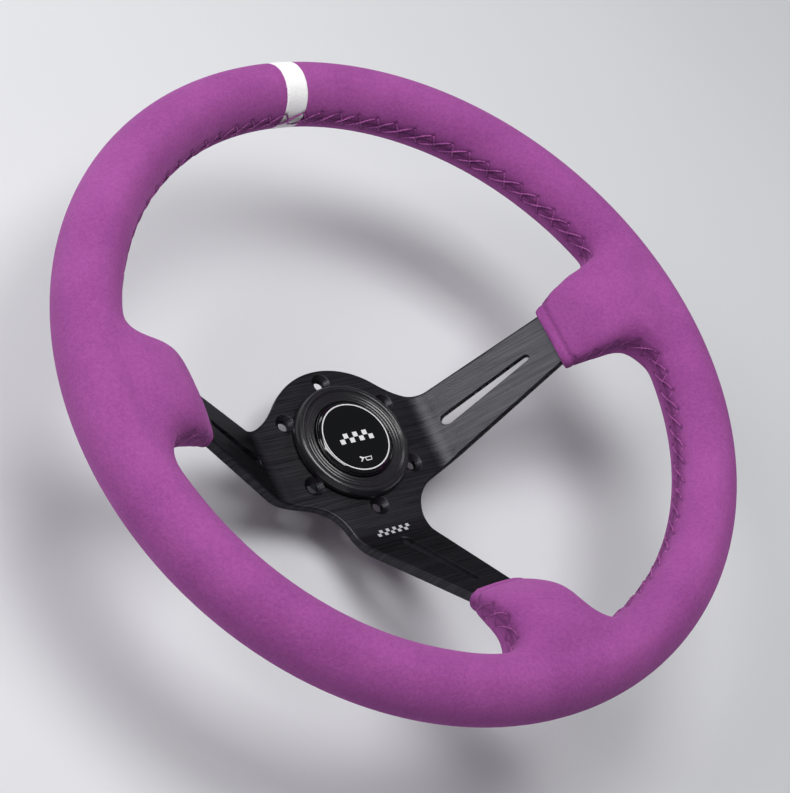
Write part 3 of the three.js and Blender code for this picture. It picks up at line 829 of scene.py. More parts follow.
@dataclass
class SpokePlate:
    """The pressed plate: hub, three slotted spokes, countersunk bolt holes, bends."""

    sizes: WheelSizes
    edge_round: float = 1.15
    slot_round: float = 0.45
    bore_radius: float = 25.0
    bolt_circle: float = 35.0
    bolt_radius: float = 2.75
    sink_radius: float = 5.0
    slot_inner: float = 2.9
    slot_outer: float = 1.6
    slot_start: float = 17.2
    slot_stop: float = 11.6
    foot_slot_extra: float = 1.5
    neck_angle: float = 0.76
    neck_length: float = 15.0
    tab_end: float = 167.75
    flat_radius: float = 42.6

    def _curve(self, start: Sequence[float], pull: Sequence[float], end: Sequence[float],
               steps: int) -> list[Vector]:
        """Points on a smooth corner between two points."""
        first, middle, last = Vector(start), Vector(pull), Vector(end)
        shares = [step / steps for step in range(1, steps + 1)]
        return [first.lerp(middle, t).lerp(middle.lerp(last, t), t) for t in shares]

    def outline(self) -> list[Vector]:
        """The plate's outline in plan, clockwise from 12 o'clock."""
        hub = self.sizes.hub_radius
        edges = (UPPER_EDGE, LOWER_EDGE, FOOT_EDGE)
        upper, lower, side = (partial(edge.at, self.sizes) for edge in edges)
        neck, end, neck_end = self.neck_angle, self.tab_end, hub + self.neck_length
        arc_steps = 22
        arc = [math.pi / 2 + (neck - math.pi / 2) * i / arc_steps for i in range(arc_steps + 1)]
        half = [Vector((hub * math.cos(a), hub * math.sin(a))) for a in arc]
        half += self._curve(half[-1], (hub + 2, upper(hub) + 0.3), (neck_end, upper(neck_end)), 14)
        half += [Vector((end, upper(end))), Vector((end, lower(end)))]
        corner = Vector((hub - 5, lower(hub - 5)))
        half.append(corner)
        crotch = (side(hub - 9) + 0.2, lower(hub * 0.55))
        half += self._curve(corner, crotch, (side(hub + 4), -hub - 4), 20)
        half += [Vector((side(end), -end))]
        left = [Vector((-p.x, p.y)) for p in reversed(half[1:])]
        return half + left

    def slot(self, inner: Vector, outer: Vector) -> list[Vector]:
        """A slot's outline, anticlockwise, with round ends."""
        along = outer - inner
        heading = math.atan2(along.y, along.x)
        lean = math.asin((self.slot_inner - self.slot_outer) / along.length)
        steps = 14
        points = []
        for centre, radius, start, stop in (
            (outer, self.slot_outer, -math.pi / 2 + lean, math.pi / 2 - lean),
            (inner, self.slot_inner, math.pi / 2 - lean, 3 * math.pi / 2 + lean),
        ):
            for i in range(steps + 1):
                angle = heading + start + (stop - start) * i / steps
                points.append(centre + radius * Vector((math.cos(angle), math.sin(angle))))
        return points

    def slots(self) -> list[list[Vector]]:
        """The three slots in plan."""
        start, stop = self.sizes.hub_radius + self.slot_start, self.sizes.lug_mouth - self.slot_stop
        ends = [Vector((x, sum(Spoke.RIGHT.sides(self.sizes, x)) / 2)) for x in (start, stop)]
        right = self.slot(*ends)
        left = [Vector((-p.x, p.y)) for p in reversed(right)]
        foot = self.slot(Vector((0, -start)), Vector((0, -stop - self.foot_slot_extra)))
        return [right, left, foot]

    def _circle(self, radius: float, x: float, y: float, count: int) -> list[Vector]:
        """A circle in plan, anticlockwise."""
        turns = [2 * math.pi * i / count for i in range(count)]
        return [Vector((x + radius * math.cos(a), y + radius * math.sin(a))) for a in turns]

    def _levels(self, curl: float) -> Levels:
        """Insets and heights round a rounded edge, from the front face to the back face."""
        half = self.sizes.plate_thickness / 2
        steps = 4
        turns = [i / steps * math.pi / 2 for i in range(steps + 1)]
        front = [
            (curl * (1 - math.sin(turn)), half - curl * (1 - math.cos(turn))) for turn in turns
        ]
        return front + [(inset, -height) for inset, height in reversed(front)]

    def _sink_levels(self) -> Levels:
        """The same for a countersunk hole."""
        half = self.sizes.plate_thickness / 2
        sink = self.sink_radius - self.bolt_radius
        return [
            (sink + 0.35, half), (sink + 0.12, half - 0.1), (sink - 0.05, half - 0.3),
            (0.12, half - sink), (0.0, half - sink - 0.2), (0.0, -half + 0.25), (0.25, -half),
        ]

    def _walled(self) -> bpy.types.Object:
        """The flat plate with rounded edges, its middle at height 0."""
        loops: list[tuple[list[Vector], Levels]] = [(self.outline(), self._levels(self.edge_round))]
        loops += [(slot, self._levels(self.slot_round)) for slot in self.slots()]
        loops.append((self._circle(self.bore_radius, 0, 0, 96), self._levels(0.3)))
        for index in range(6):
            angle = math.pi / 2 + index * math.pi / 3
            centre = (self.bolt_circle * math.cos(angle), self.bolt_circle * math.sin(angle))
            loops.append((self._circle(self.bolt_radius, *centre, 40), self._sink_levels()))
        points: list[Point] = []
        faces: Rows = []
        front: list[int] = []
        back: list[int] = []
        for loop, levels in loops:
            count = len(loop)
            normals = self._inward(loop)
            start = len(points)
            for inset, height in levels:
                for spot, normal in zip(loop, normals):
                    moved = spot + normal * inset
                    points.append((moved.x, moved.y, height))
            faces += Bench.bands(count, len(levels), start)
            front += range(start, start + count)
            back += range(len(points) - count, len(points))
        piece = Bench.from_points("spoke_plate_pressed", np.array(points), faces)
        for rim in (front, back):
            chosen = np.zeros(len(piece.data.vertices), bool)
            chosen[rim] = True
            Bench.select_points(piece, chosen)
            bpy.ops.mesh.select_mode(type="EDGE")
            bpy.ops.mesh.fill(use_beauty=True)
            bpy.ops.object.mode_set(mode="OBJECT")
        return piece

    def _inward(self, loop: list[Vector]) -> list[Vector]:
        """Directions from a loop's points into the plate's metal."""
        count = len(loop)
        area = sum(loop[i].cross(loop[(i + 1) % count]) for i in range(count))
        is_outline = len(loop) > 60 and max(p.x for p in loop) > 100
        sign = (1.0 if area > 0 else -1.0) * (1.0 if is_outline else -1.0)
        normals = []
        for i in range(count):
            before = (loop[i] - loop[i - 1]).normalized()
            after = (loop[(i + 1) % count] - loop[i]).normalized()
            tangent = (before + after).normalized()
            normal = Vector((-tangent.y, tangent.x)) * sign
            spread = max(0.35, tangent.dot(after))
            normals.append(normal / spread)
        return normals

    def _cut_bends(self, piece: bpy.types.Object) -> None:
        """Cuts rows across the bends, so that they turn smoothly."""
        spans = ((42.8, 60.5, 0.9), (64, 119, 6.0), (120, 138, 1.8))
        rows = np.concatenate([np.arange(*span) for span in spans])
        Bench.pick(piece)
        bpy.ops.object.mode_set(mode="EDIT")
        for normal, sign in (((1, 0, 0), 1), ((1, 0, 0), -1), ((0, 1, 0), -1)):
            for row in rows:
                bpy.ops.mesh.select_all(action="SELECT")
                place = tuple(part * sign * row * MM for part in normal)
                bpy.ops.mesh.bisect(plane_co=place, plane_no=normal)
        bpy.ops.object.mode_set(mode="OBJECT")

    def _bend(self, piece: bpy.types.Object) -> None:
        """Bends the spokes up from the hub and flat again at their ends."""
        points = Bench.points_of(piece)
        middle = self.sizes.plate_thickness / 2
        result = points.copy()
        result[:, 2] += middle
        for axis, sign in ((0, 1.0), (0, -1.0), (1, -1.0)):
            distance = points[:, axis] * sign
            chosen = distance > self.flat_radius
            height, slope = self.middle_line(distance[chosen])
            thickness = points[chosen, 2]
            result[chosen, axis] = sign * (distance[chosen] - thickness * np.sin(slope))
            result[chosen, 2] = height + thickness * np.cos(slope)
        Bench.set_points(piece, result)

    def middle_line(self, distance: np.ndarray) -> tuple[np.ndarray, np.ndarray]:
        """Height and slope of a spoke's middle line.

        Args:
            distance: distances from the wheel's axis.

        Returns:
            Heights in millimetres and slopes in radians.
        """
        sizes = self.sizes
        radius, angle = sizes.bend_radius, sizes.spoke_angle
        middle = sizes.plate_thickness / 2
        tangent = radius * math.tan(angle / 2)
        foot, head = sizes.lower_bend - tangent, sizes.upper_bend + tangent
        rise_in = np.clip((distance - foot) / radius, 0, math.sin(angle))
        rise_out = np.clip((head - distance) / radius, 0, math.sin(angle))
        slope = np.where(distance < (foot + head) / 2, np.arcsin(rise_in), np.arcsin(rise_out))
        low = middle + radius * (1 - np.cos(np.arcsin(rise_in)))
        high = sizes.tab_height - radius * (1 - np.cos(np.arcsin(rise_out)))
        ramp = middle + (distance - sizes.lower_bend) * math.tan(angle)
        flat_in = foot + radius * math.sin(angle)
        flat_out = head - radius * math.sin(angle)
        height = np.where(distance < flat_in, low, np.where(distance > flat_out, high, ramp))
        return height, slope

    def build(self) -> bpy.types.Object:
        """Makes the plate.

        Returns:
            The finished plate.
        """
        piece = self._walled()
        Bench.outward(piece)
        self._cut_bends(piece)
        self._bend(piece)
        Bench.outward(piece)
        Bench.smooth(piece, 32)
        Bench.modify(piece, "WEIGHTED_NORMAL", keep_sharp=True, weight=80)
        return piece


@dataclass
class ChequerMark:
    """A small generic chequered mark, two rows of blocks, printed on a face."""

    name: str
    width: float
    height: float
    columns: int
    thickness: float = 0.05
    edge: float = 0.12

    def build(self, lay: Callable[[np.ndarray], np.ndarray]) -> bpy.types.Object:
        """Makes the blocks.

        Args:
            lay: carries flat points, with height as thickness, onto the face.

        Returns:
            The mark as one object.
        """
        blocks = []
        wide, tall = self.width / self.columns, self.height / 2
        for row in range(2):
            for column in range(self.columns):
                if (row + column) % 2:
                    continue
                Bench.clear()
                bpy.ops.mesh.primitive_cube_add(size=MM, location=(0, 0, 0))
                block = Bench.named(f"{self.name}_block")
                block.dimensions = (wide * 0.96 * MM, tall * 0.94 * MM, self.thickness * MM)
                block.location = (
                    (-self.width / 2 + wide * (column + 0.5)) * MM,
                    (-self.height / 2 + tall * (row + 0.5)) * MM, self.thickness / 2 * MM,
                )
                Bench.settle(block)
                Bench.modify(block, "BEVEL", width=self.edge * MM, segments=2, affect="EDGES")
                blocks.append(block)
        piece = Bench.join(self.name, blocks)
        Bench.set_points(piece, lay(Bench.points_of(piece)))
        Bench.outward(piece, 1e-7)
        return piece


# ---- Grip -------------------------------------------------------------------------------


@dataclass(frozen=True)
class LugStation:
    """A cross-section of a lug on its way from its mouth into the grip."""

    share: float
    upper: float
    lower: float
    even: float
    under: float
    blend: float
    flare: float = 0.0


LUG_STATIONS = (
    LugStation(0.0, 3.3, 3.2, 3.0, 0.0, 0.0, 0.0),
    LugStation(0.07, 4.2, 4.2, 4.0, 0.6, 0.05, 0.6),
    LugStation(0.14, 5.6, 5.4, 5.0, 2.0, 0.12, 1.6),
    LugStation(0.35, 7.9, 9.2, 7.2, 4.2, 0.38, 3.4),
    LugStation(0.6, 9.0, 13.6, 9.8, 3.4, 0.7, 3.8),
    LugStation(0.8, 11.6, 18.8, 13.6, 1.6, 0.9, 3.0),
    LugStation(0.9, 15.5, 24.5, 18.0, 0.6, 0.96, 2.0),
    LugStation(1.0, 23.0, 33.0, 26.0, 0.0, 1.0, 1.0),
    LugStation(1.12, 42.0, 46.0, 42.0, 0.0, 1.0, 0.0),
)


@dataclass
class Grip:
    """The suede-covered grip: a ring, three lugs, and their seams."""

    sizes: WheelSizes
    stations: tuple[LugStation, ...] = LUG_STATIONS
    lug_wall: float = 2.9
    squareness: float = 0.6
    voxel: float = 1.6
    fillet_reach: float = 62.0
    fillet_fade: float = 16.0
    fillet_inner: float = 116.0
    fillet_outer: float = 161.0
    seam_band: float = 6.6
    mouth_band: float = 9.5
    hem_width: float = 5.0
    hem_groove: float = 0.5
    hem_rise: float = 0.12
    marker_seat: float = 0.7
    seams: list["SeamLine"] = field(default_factory=list)

    @property
    def inset(self) -> float:
        """Distance from the lugs' mouths to the grip's inner edge."""
        return self.sizes.inner_radius - self.sizes.lug_mouth

    def station_at(self, share: float) -> LugStation:
        """A smooth in-between of the stations.

        Args:
            share: the share of the way to the grip's inner edge.

        Returns:
            The station there.
        """
        shares = np.array([station.share for station in self.stations])
        names = ("upper", "lower", "even", "under", "blend", "flare")
        values = np.array([[getattr(station, name) for name in names] for station in self.stations])
        slopes = np.gradient(values, shares, axis=0)
        i = int(np.clip(np.searchsorted(shares, share) - 1, 0, len(shares) - 2))
        span = shares[i + 1] - shares[i]
        t = (share - shares[i]) / span
        a, b = 2 * t**3 - 3 * t**2 + 1, t**3 - 2 * t**2 + t
        c, d = -2 * t**3 + 3 * t**2, t**3 - t**2
        row = a * values[i] + b * span * slopes[i] + c * values[i + 1] + d * span * slopes[i + 1]
        return LugStation(share, *row)

    def middle_of(self, distance: float) -> float:
        """Height of the spoke's middle line inside the lug."""
        sizes = self.sizes
        climb = (distance - sizes.lower_bend) * math.tan(sizes.spoke_angle)
        return min(sizes.plate_thickness / 2 + climb, sizes.tab_height)

    def height_at(self, distance: float, blend: float) -> float:
        """Height of a lug's middle line as it turns from the spoke's line into the ring's."""
        return self.middle_of(distance) * (1 - blend) + self.sizes.rim_centre * blend

    def reach(self, spoke: Spoke, station: LugStation) -> tuple[float, float]:
        """How far a lug's two sides reach beyond its spoke's edges."""
        if spoke is Spoke.FOOT:
            return station.even, station.even
        return station.upper, station.lower

    def ring(self, spoke: Spoke, share: float, count: int = 56) -> np.ndarray:
        """One cross-section, with the spoke lying along +X.

        Args:
            spoke: which spoke the lug is on.
            share: the share of the way to the grip's inner edge.
            count: points round the section.

        Returns:
            The section's points.
        """
        station = self.station_at(share)
        distance = self.sizes.lug_mouth + share * self.inset
        slope = self.sizes.spoke_angle * (1 - station.blend)
        middle = self.height_at(distance, station.blend)
        thin = self.sizes.plate_thickness / 2 + self.lug_wall
        thickness = thin * (1 - station.blend) + self.sizes.grip_height * 0.46 * station.blend
        edge_high, edge_low = spoke.sides(self.sizes, distance)
        up, down = self.reach(spoke, station)
        high, low = edge_high + up, edge_low - down
        angle = (np.arange(count) + 0.5) * 2 * math.pi / count

        def squared(share: np.ndarray) -> np.ndarray:
            """Pushes a round section's points towards a square's."""
            return np.sign(share) * np.abs(share) ** self.squareness

        rise = np.sin(angle)
        back = np.clip(-squared(rise), 0, 1) * station.flare
        across = (high + low) / 2 + ((high - low) / 2 + back) * squared(np.cos(angle))
        over = (thickness + np.where(rise < 0, station.under, 0)) * squared(rise)
        out, height = distance - over * math.sin(slope), middle + over * math.cos(slope)
        return np.stack([out, across, height], 1)

    def _lug(self, spoke: Spoke) -> bpy.types.Object:
        """One lug, from its mouth into the grip."""
        shares = np.concatenate([np.linspace(0, 0.2, 8), np.linspace(0.24, 1.12, 26)])
        rings = [spoke.put(self.ring(spoke, share)) for share in shares]
        count = len(rings[0])
        faces = Bench.bands(count, len(rings))
        last = (len(rings) - 1) * count
        faces.append(list(range(count))[::-1])
        faces.append(list(range(last, last + count)))
        piece = Bench.from_points("lug_blank", np.concatenate(rings), faces)
        Bench.outward(piece)
        return piece

    def _hoop(self) -> bpy.types.Object:
        """The grip's ring, an oval torus."""
        Bench.clear()
        half = self.sizes.grip_width / 2
        bpy.ops.mesh.primitive_torus_add(
            major_segments=240, minor_segments=48, location=(0, 0, self.sizes.rim_centre * MM),
            major_radius=self.sizes.rim_radius * MM, minor_radius=half * MM,
        )
        piece = Bench.named("ring_blank")
        bpy.ops.object.mode_set(mode="EDIT")
        bpy.ops.mesh.select_all(action="SELECT")
        bpy.ops.transform.resize(
            value=(1, 1, self.sizes.grip_height / self.sizes.grip_width),
            center_override=(0, 0, self.sizes.rim_centre * MM),
        )
        bpy.ops.object.mode_set(mode="OBJECT")
        return Bench.settle(piece)

    def _fillet_weight(self, points: np.ndarray) -> np.ndarray:
        """How strongly the skin is smoothed: most where the lugs run into the ring."""
        radius = np.hypot(points[:, 0], points[:, 1])
        weight = np.zeros(len(points))
        for spoke in Spoke:
            middle = sum(spoke.sides(self.sizes, self.sizes.inner_radius)) / 2
            centre = spoke.put(np.array([[self.sizes.inner_radius, middle, 0.0]]))[0]
            away = np.hypot(points[:, 0] - centre[0], points[:, 1] - centre[1])
            near = np.clip((self.fillet_reach - away) / self.fillet_fade, 0, 1)
            inside = np.clip((radius - self.fillet_inner) / 12, 0, 1)
            inside = inside * np.clip((self.fillet_outer - radius) / 13, 0, 1)
            front = 0.3 + 0.7 * np.clip((points[:, 2] - self.sizes.rim_centre + 1) / 7, 0, 1)
            weight = np.maximum(weight, near * inside * front)
        return weight

    def cover(self) -> bpy.types.Object:
        """The suede cover as one skin, with its seams sunk in.

        Returns:
            The cover, with a point attribute of painted shade that is 1 in the seams' hollows.
        """
        blanks = [self._hoop()] + [self._lug(spoke) for spoke in Spoke]
        piece = Bench.join("rim_cover_suede", blanks)
        Bench.modify(piece, "REMESH", mode="VOXEL", voxel_size=self.voxel * MM, adaptivity=0.0)
        group = piece.vertex_groups.new(name="fillet")
        for index, weight in enumerate(self._fillet_weight(Bench.points_of(piece))):
            if weight > 0:
                group.add([index], float(weight), "REPLACE")
        Bench.modify(piece, "SMOOTH", factor=0.5, iterations=64, vertex_group="fillet")
        Bench.modify(piece, "SMOOTH", factor=0.5, iterations=3)
        piece.vertex_groups.clear()
        self._lay_seams(piece)
        self._refine(piece)
        self._sink(piece)
        Bench.pick(piece)
        bpy.ops.object.shade_smooth()
        return piece

    def _lay_seams(self, piece: bpy.types.Object) -> None:
        """Runs the three seams along the skin, from lug to lug."""
        tree = BVHTree.FromPolygons(
            [vertex.co / MM for vertex in piece.data.vertices],
            [tuple(face.vertices) for face in piece.data.polygons],
        )
        for name, first, last in (
            ("seam_thread_upper", (Spoke.RIGHT, 1), (Spoke.LEFT, 1)),
            ("seam_thread_lower_right", (Spoke.FOOT, 1), (Spoke.RIGHT, -1)),
            ("seam_thread_lower_left", (Spoke.LEFT, -1), (Spoke.FOOT, -1)),
        ):
            seam = SeamLine(name, tree)
            seam.lay(self._guide(first, last))
            self.seams.append(seam)

    def _side_line(self, spoke: Spoke, side: int) -> np.ndarray:
        """A line in the air beside one side of a lug, from its mouth to the ring."""
        points = []
        for share in np.linspace(0.03, 0.92, 26):
            station = self.station_at(share)
            distance = self.sizes.lug_mouth + share * self.inset
            edges = spoke.sides(self.sizes, distance)
            up, down = self.reach(spoke, station)
            reach = edges[0] + up if side > 0 else edges[1] - down
            across = reach + side * (station.flare / 2)
            points.append((distance, across + side * 1.5, self.height_at(distance, station.blend)))
        return spoke.put(np.array(points))

    def _guide(self, first: tuple[Spoke, int], last: tuple[Spoke, int]) -> np.ndarray:
        """The line that a seam is laid from: down one lug, round the ring and up the next."""
        start = self._side_line(*first)
        end = self._side_line(*last)[::-1]
        reach = self.sizes.inner_radius - 3
        low = math.atan2(start[-1, 1], start[-1, 0])
        high = math.atan2(end[0, 1], end[0, 0])
        if high < low:
            high += 2 * math.pi
        pad = 0.05
        angle = np.linspace(low + pad, high - pad, 160)
        height = np.full(len(angle), self.sizes.rim_centre)
        arc = np.stack([reach * np.cos(angle), reach * np.sin(angle), height], 1)
        return np.concatenate([start, arc, end])

    def _refine(self, piece: bpy.types.Object) -> None:
        """Gives the skin smaller faces along the seams and at the lugs' mouths."""
        points = Bench.points_of(piece)
        chosen = self._mouth_distance(points) < self.mouth_band
        for seam in self.seams:
            chosen |= np.abs(seam.nearest(points)[1]) < self.seam_band
        Bench.select_points(piece, chosen)
        bpy.ops.mesh.subdivide(number_cuts=1, smoothness=0.0)
        bpy.ops.object.mode_set(mode="OBJECT")

    def _mouth_distance(self, points: np.ndarray) -> np.ndarray:
        """Distance of points from the nearest lug's mouth, up the spoke's slope."""
        sizes = self.sizes
        result = np.full(len(points), 1e3)
        direction = np.array([math.cos(sizes.spoke_angle), math.sin(sizes.spoke_angle)])
        height = self.middle_of(sizes.lug_mouth)
        for axis, sign in ((0, 1.0), (0, -1.0), (1, -1.0)):
            out = points[:, axis] * sign
            along = (out - sizes.lug_mouth) * direction[0] + (points[:, 2] - height) * direction[1]
            other = np.abs(points[:, 1 - axis])
            close = (out > 80) & (other < 60)
            result = np.where(close, np.minimum(result, np.maximum(along, 0)), result)
        return result

    def _sink(self, piece: bpy.types.Object) -> None:
        """Sinks the seams and the lugs' hems into the skin, and stores their painted shade."""
        points = Bench.points_of(piece)
        normals = np.zeros(len(points) * 3)
        piece.data.vertices.foreach_get("normal", normals)
        normals = normals.reshape(-1, 3)
        depth = np.zeros(len(points))
        shade = np.zeros(len(points))
        for seam in self.seams:
            sunk, dark = seam.hollow(points)
            depth = np.maximum(depth, sunk)
            shade = np.maximum(shade, dark)
        mouth = self._mouth_distance(points)
        groove = np.exp(-((mouth - self.hem_width) / 1.1) ** 2)
        band = 1 / (1 + np.exp((mouth - self.hem_width + 1) / 0.35))
        depth = np.maximum(depth, groove * self.hem_groove) - band * self.hem_rise
        # Painted shade in the groove behind each lug's hem.
        shade = np.maximum(shade, groove * 0.3)
        under = self._under_marker(points)
        depth = depth * (1 - under) + under * self.marker_seat
        Bench.set_points(piece, points - normals * depth[:, None])
        Bench.store(piece, SEAM_SHADE, shade)

    def _under_marker(self, points: np.ndarray) -> np.ndarray:
        """1 where the skin lies under the marker at 12 o'clock, 0 elsewhere."""
        across = np.clip((self.sizes.marker_width / 2 + 0.3 - np.abs(points[:, 0])) / 0.8, 0, 1)
        return across * (points[:, 1] > 0)


@dataclass
class SeamLine:
    """A seam on the skin: the line where the suede's edges meet, and its lacing."""

    name: str
    tree: BVHTree
    pitch: float = 10.4
    half_width: float = 4.3
    step: float = 0.5
    wander: float = 0.3
    marker_half: float = 6.0
    edge_depth: float = 0.42
    thread_depth: float = 0.24
    hole_depth: float = 0.6
    shallow_length: float = 12.0
    easing_length: float = 46.0
    shallow_share: float = 0.15

    def lay(self, guide: np.ndarray) -> None:
        """Lays the seam's line on the skin.

        Args:
            guide: points in the air that the line is dropped from.
        """
        smooth = self._even(guide, 1.5)
        for _ in range(6):
            smooth[1:-1] = (smooth[:-2] + smooth[2:] + 2 * smooth[1:-1]) / 4
        dropped = np.array([self.tree.find_nearest(Vector(point))[0][:] for point in smooth])
        for _ in range(8):
            dropped[1:-1] = (dropped[:-2] + dropped[2:] + 2 * dropped[1:-1]) / 4
        line = self._even(dropped, self.step)
        found = [self.tree.find_nearest(Vector(point)) for point in line]
        self.points = np.array([place[:] for place, _, _, _ in found])
        normals = np.array([normal[:] for _, normal, _, _ in found])
        normals = self._blur(normals, 9)
        tangents = np.gradient(self._blur(self.points, 5), axis=0)
        tangents /= np.linalg.norm(tangents, axis=1)[:, None]
        normals -= tangents * np.sum(normals * tangents, 1)[:, None]
        self.normals = normals / np.linalg.norm(normals, axis=1)[:, None]
        self.tangents = tangents
        self.sides = np.cross(self.normals, tangents)
        flip = np.where(self.sides[:, 2] < 0, -1.0, 1.0)
        self.sides *= np.sign(np.median(flip))
        self.length = self.step * (len(self.points) - 1)

    @staticmethod
    def _even(points: np.ndarray, step: float) -> np.ndarray:
        """The same line with its points a step apart."""
        lengths = np.concatenate([[0], np.cumsum(np.linalg.norm(np.diff(points, axis=0), axis=1))])
        places = np.linspace(0, lengths[-1], max(2, int(lengths[-1] / step) + 1))
        return np.stack([np.interp(places, lengths, points[:, i]) for i in range(3)], 1)

    @staticmethod
    def _blur(values: np.ndarray, width: int) -> np.ndarray:
        """A running mean along the line."""
        padded = np.pad(values, ((width, width), (0, 0)), mode="edge")
        kernel = np.ones(2 * width + 1) / (2 * width + 1)
        return np.stack([np.convolve(padded[:, i], kernel, mode="valid") for i in range(3)], 1)

    def nearest(self, points: np.ndarray) -> tuple[np.ndarray, np.ndarray]:
        """Where points lie in the seam's own terms.

        Args:
            points: places in millimetres.

        Returns:
            The place of each along the line, and its place across it, which is 1000 where the
            point is far away.
        """
        along = np.zeros(len(points))
        across = np.full(len(points), 1e3)
        coarse = self.points[::20]
        gap = np.full(len(points), 1e9)
        for sample in coarse:
            gap = np.minimum(gap, np.sum((points - sample) ** 2, 1))
        close = np.where(gap < 18.0**2)[0]
        for chunk in np.array_split(close, max(1, len(close) // 2000)):
            if not len(chunk):
                continue
            away = np.sum((points[chunk, None, :] - self.points[None, :, :]) ** 2, 2)
            best = np.argmin(away, 1)
            offset = points[chunk] - self.points[best]
            along[chunk] = best * self.step + np.sum(offset * self.tangents[best], 1)
            across[chunk] = np.sum(offset * self.sides[best], 1)
            far = np.sqrt(away[np.arange(len(chunk)), best]) > 10
            across[chunk[far]] = 1e3
        return along, across

    def stitches(self) -> list[tuple[float, float, bool]]:
        """The lacing's threads: start in the back row, end in the front row, and whether on top."""
        count = int(self.length / self.pitch)
        pitch = self.length / (count + 0.02)
        wander = np.random.default_rng(count).normal(0, self.wander, (2, count + 4))
        result = []
        for index in range(count + 1):
            for shift, top in ((-1.5, True), (0.5, False)):
                row = index + shift
                if -0.3 <= row <= count + 0.3:
                    start = index * pitch + wander[0, index]
                    end = row * pitch + wander[1, int(row + 2)]
                    result.append((*np.clip((start, end), 0.8, self.length - 0.8), top))
        return result

    def hollow(self, points: np.ndarray) -> tuple[np.ndarray, np.ndarray]:
        """How deep the skin is pressed at points, and how much painted shade it gets there.

        Args:
            points: places in millimetres.

        Returns:
            Depths in millimetres, and painted shade from 0 to 1.
        """
        along, across = self.nearest(points)
        inside = (along > -1) & (along < self.length + 1) & (np.abs(across) < 8)
        depth = np.where(inside, self.edge_depth * np.exp(-(across**2)), 0.0)
        # Painted shade: a broad dark band along the seam and a narrower one in its groove.
        wide, narrow = np.exp(-(across / 4.8) ** 4), np.exp(-(across / 1.1) ** 2)
        shade = np.where(inside, 0.36 * wide + 0.35 * narrow, 0.0)
        index = np.where(inside)[0]
        s, w = along[index], across[index]
        for start, end, _ in self.stitches():
            near = (s > min(start, end) - 4) & (s < max(start, end) + 4)
            if not near.any():
                continue
            local = index[near]
            a, b = s[near], w[near]
            run, rise = end - start, 2 * self.half_width
            reached = (a - start) * run + (b + self.half_width) * rise
            share = np.clip(reached / (run**2 + rise**2), 0, 1)
            away = np.hypot(a - start - share * run, b + self.half_width - share * rise)
            press = self.thread_depth * np.exp(-(away / 1.3) ** 2)
            for hole_s, hole_w in ((start, -self.half_width), (end, self.half_width)):
                hole = np.hypot(a - hole_s, b - hole_w)
                press = np.maximum(press, self.hole_depth * np.exp(-(hole / 1.2) ** 2))
                # Painted shadow in each stitch hole.
                shade[local] = np.maximum(shade[local], 0.9 * np.exp(-(hole / 0.9) ** 2))
            depth[local] = np.maximum(depth[local], press)
            # Painted shade along each thread, where it presses into the suede.
            shade[local] = np.maximum(shade[local], 0.62 * np.exp(-(away / 1.2) ** 2))
        from_end = np.minimum(along, self.length - along)
        eased = np.clip((from_end - self.shallow_length) / self.easing_length, self.shallow_share, 1)
        return depth * eased, shade

    def spot(self, along: float, across: float) -> tuple[Vector, Vector]:
        """A place on the skin in the seam's terms.

        Args:
            along: millimetres along the line.
            across: millimetres to the front side.

        Returns:
            The place and the skin's normal there.
        """
        index = int(np.clip(round(along / self.step), 0, len(self.points) - 1))
        rest = along - index * self.step
        guess = self.points[index] + self.tangents[index] * rest + self.sides[index] * across
        guess = guess + self.normals[index] * 0.6
        place, normal, _, _ = self.tree.find_nearest(Vector(guess))
        on_marker = abs(place.x) < self.marker_half and place.y > 0
        return (place + normal * 0.3 if on_marker else place), normal


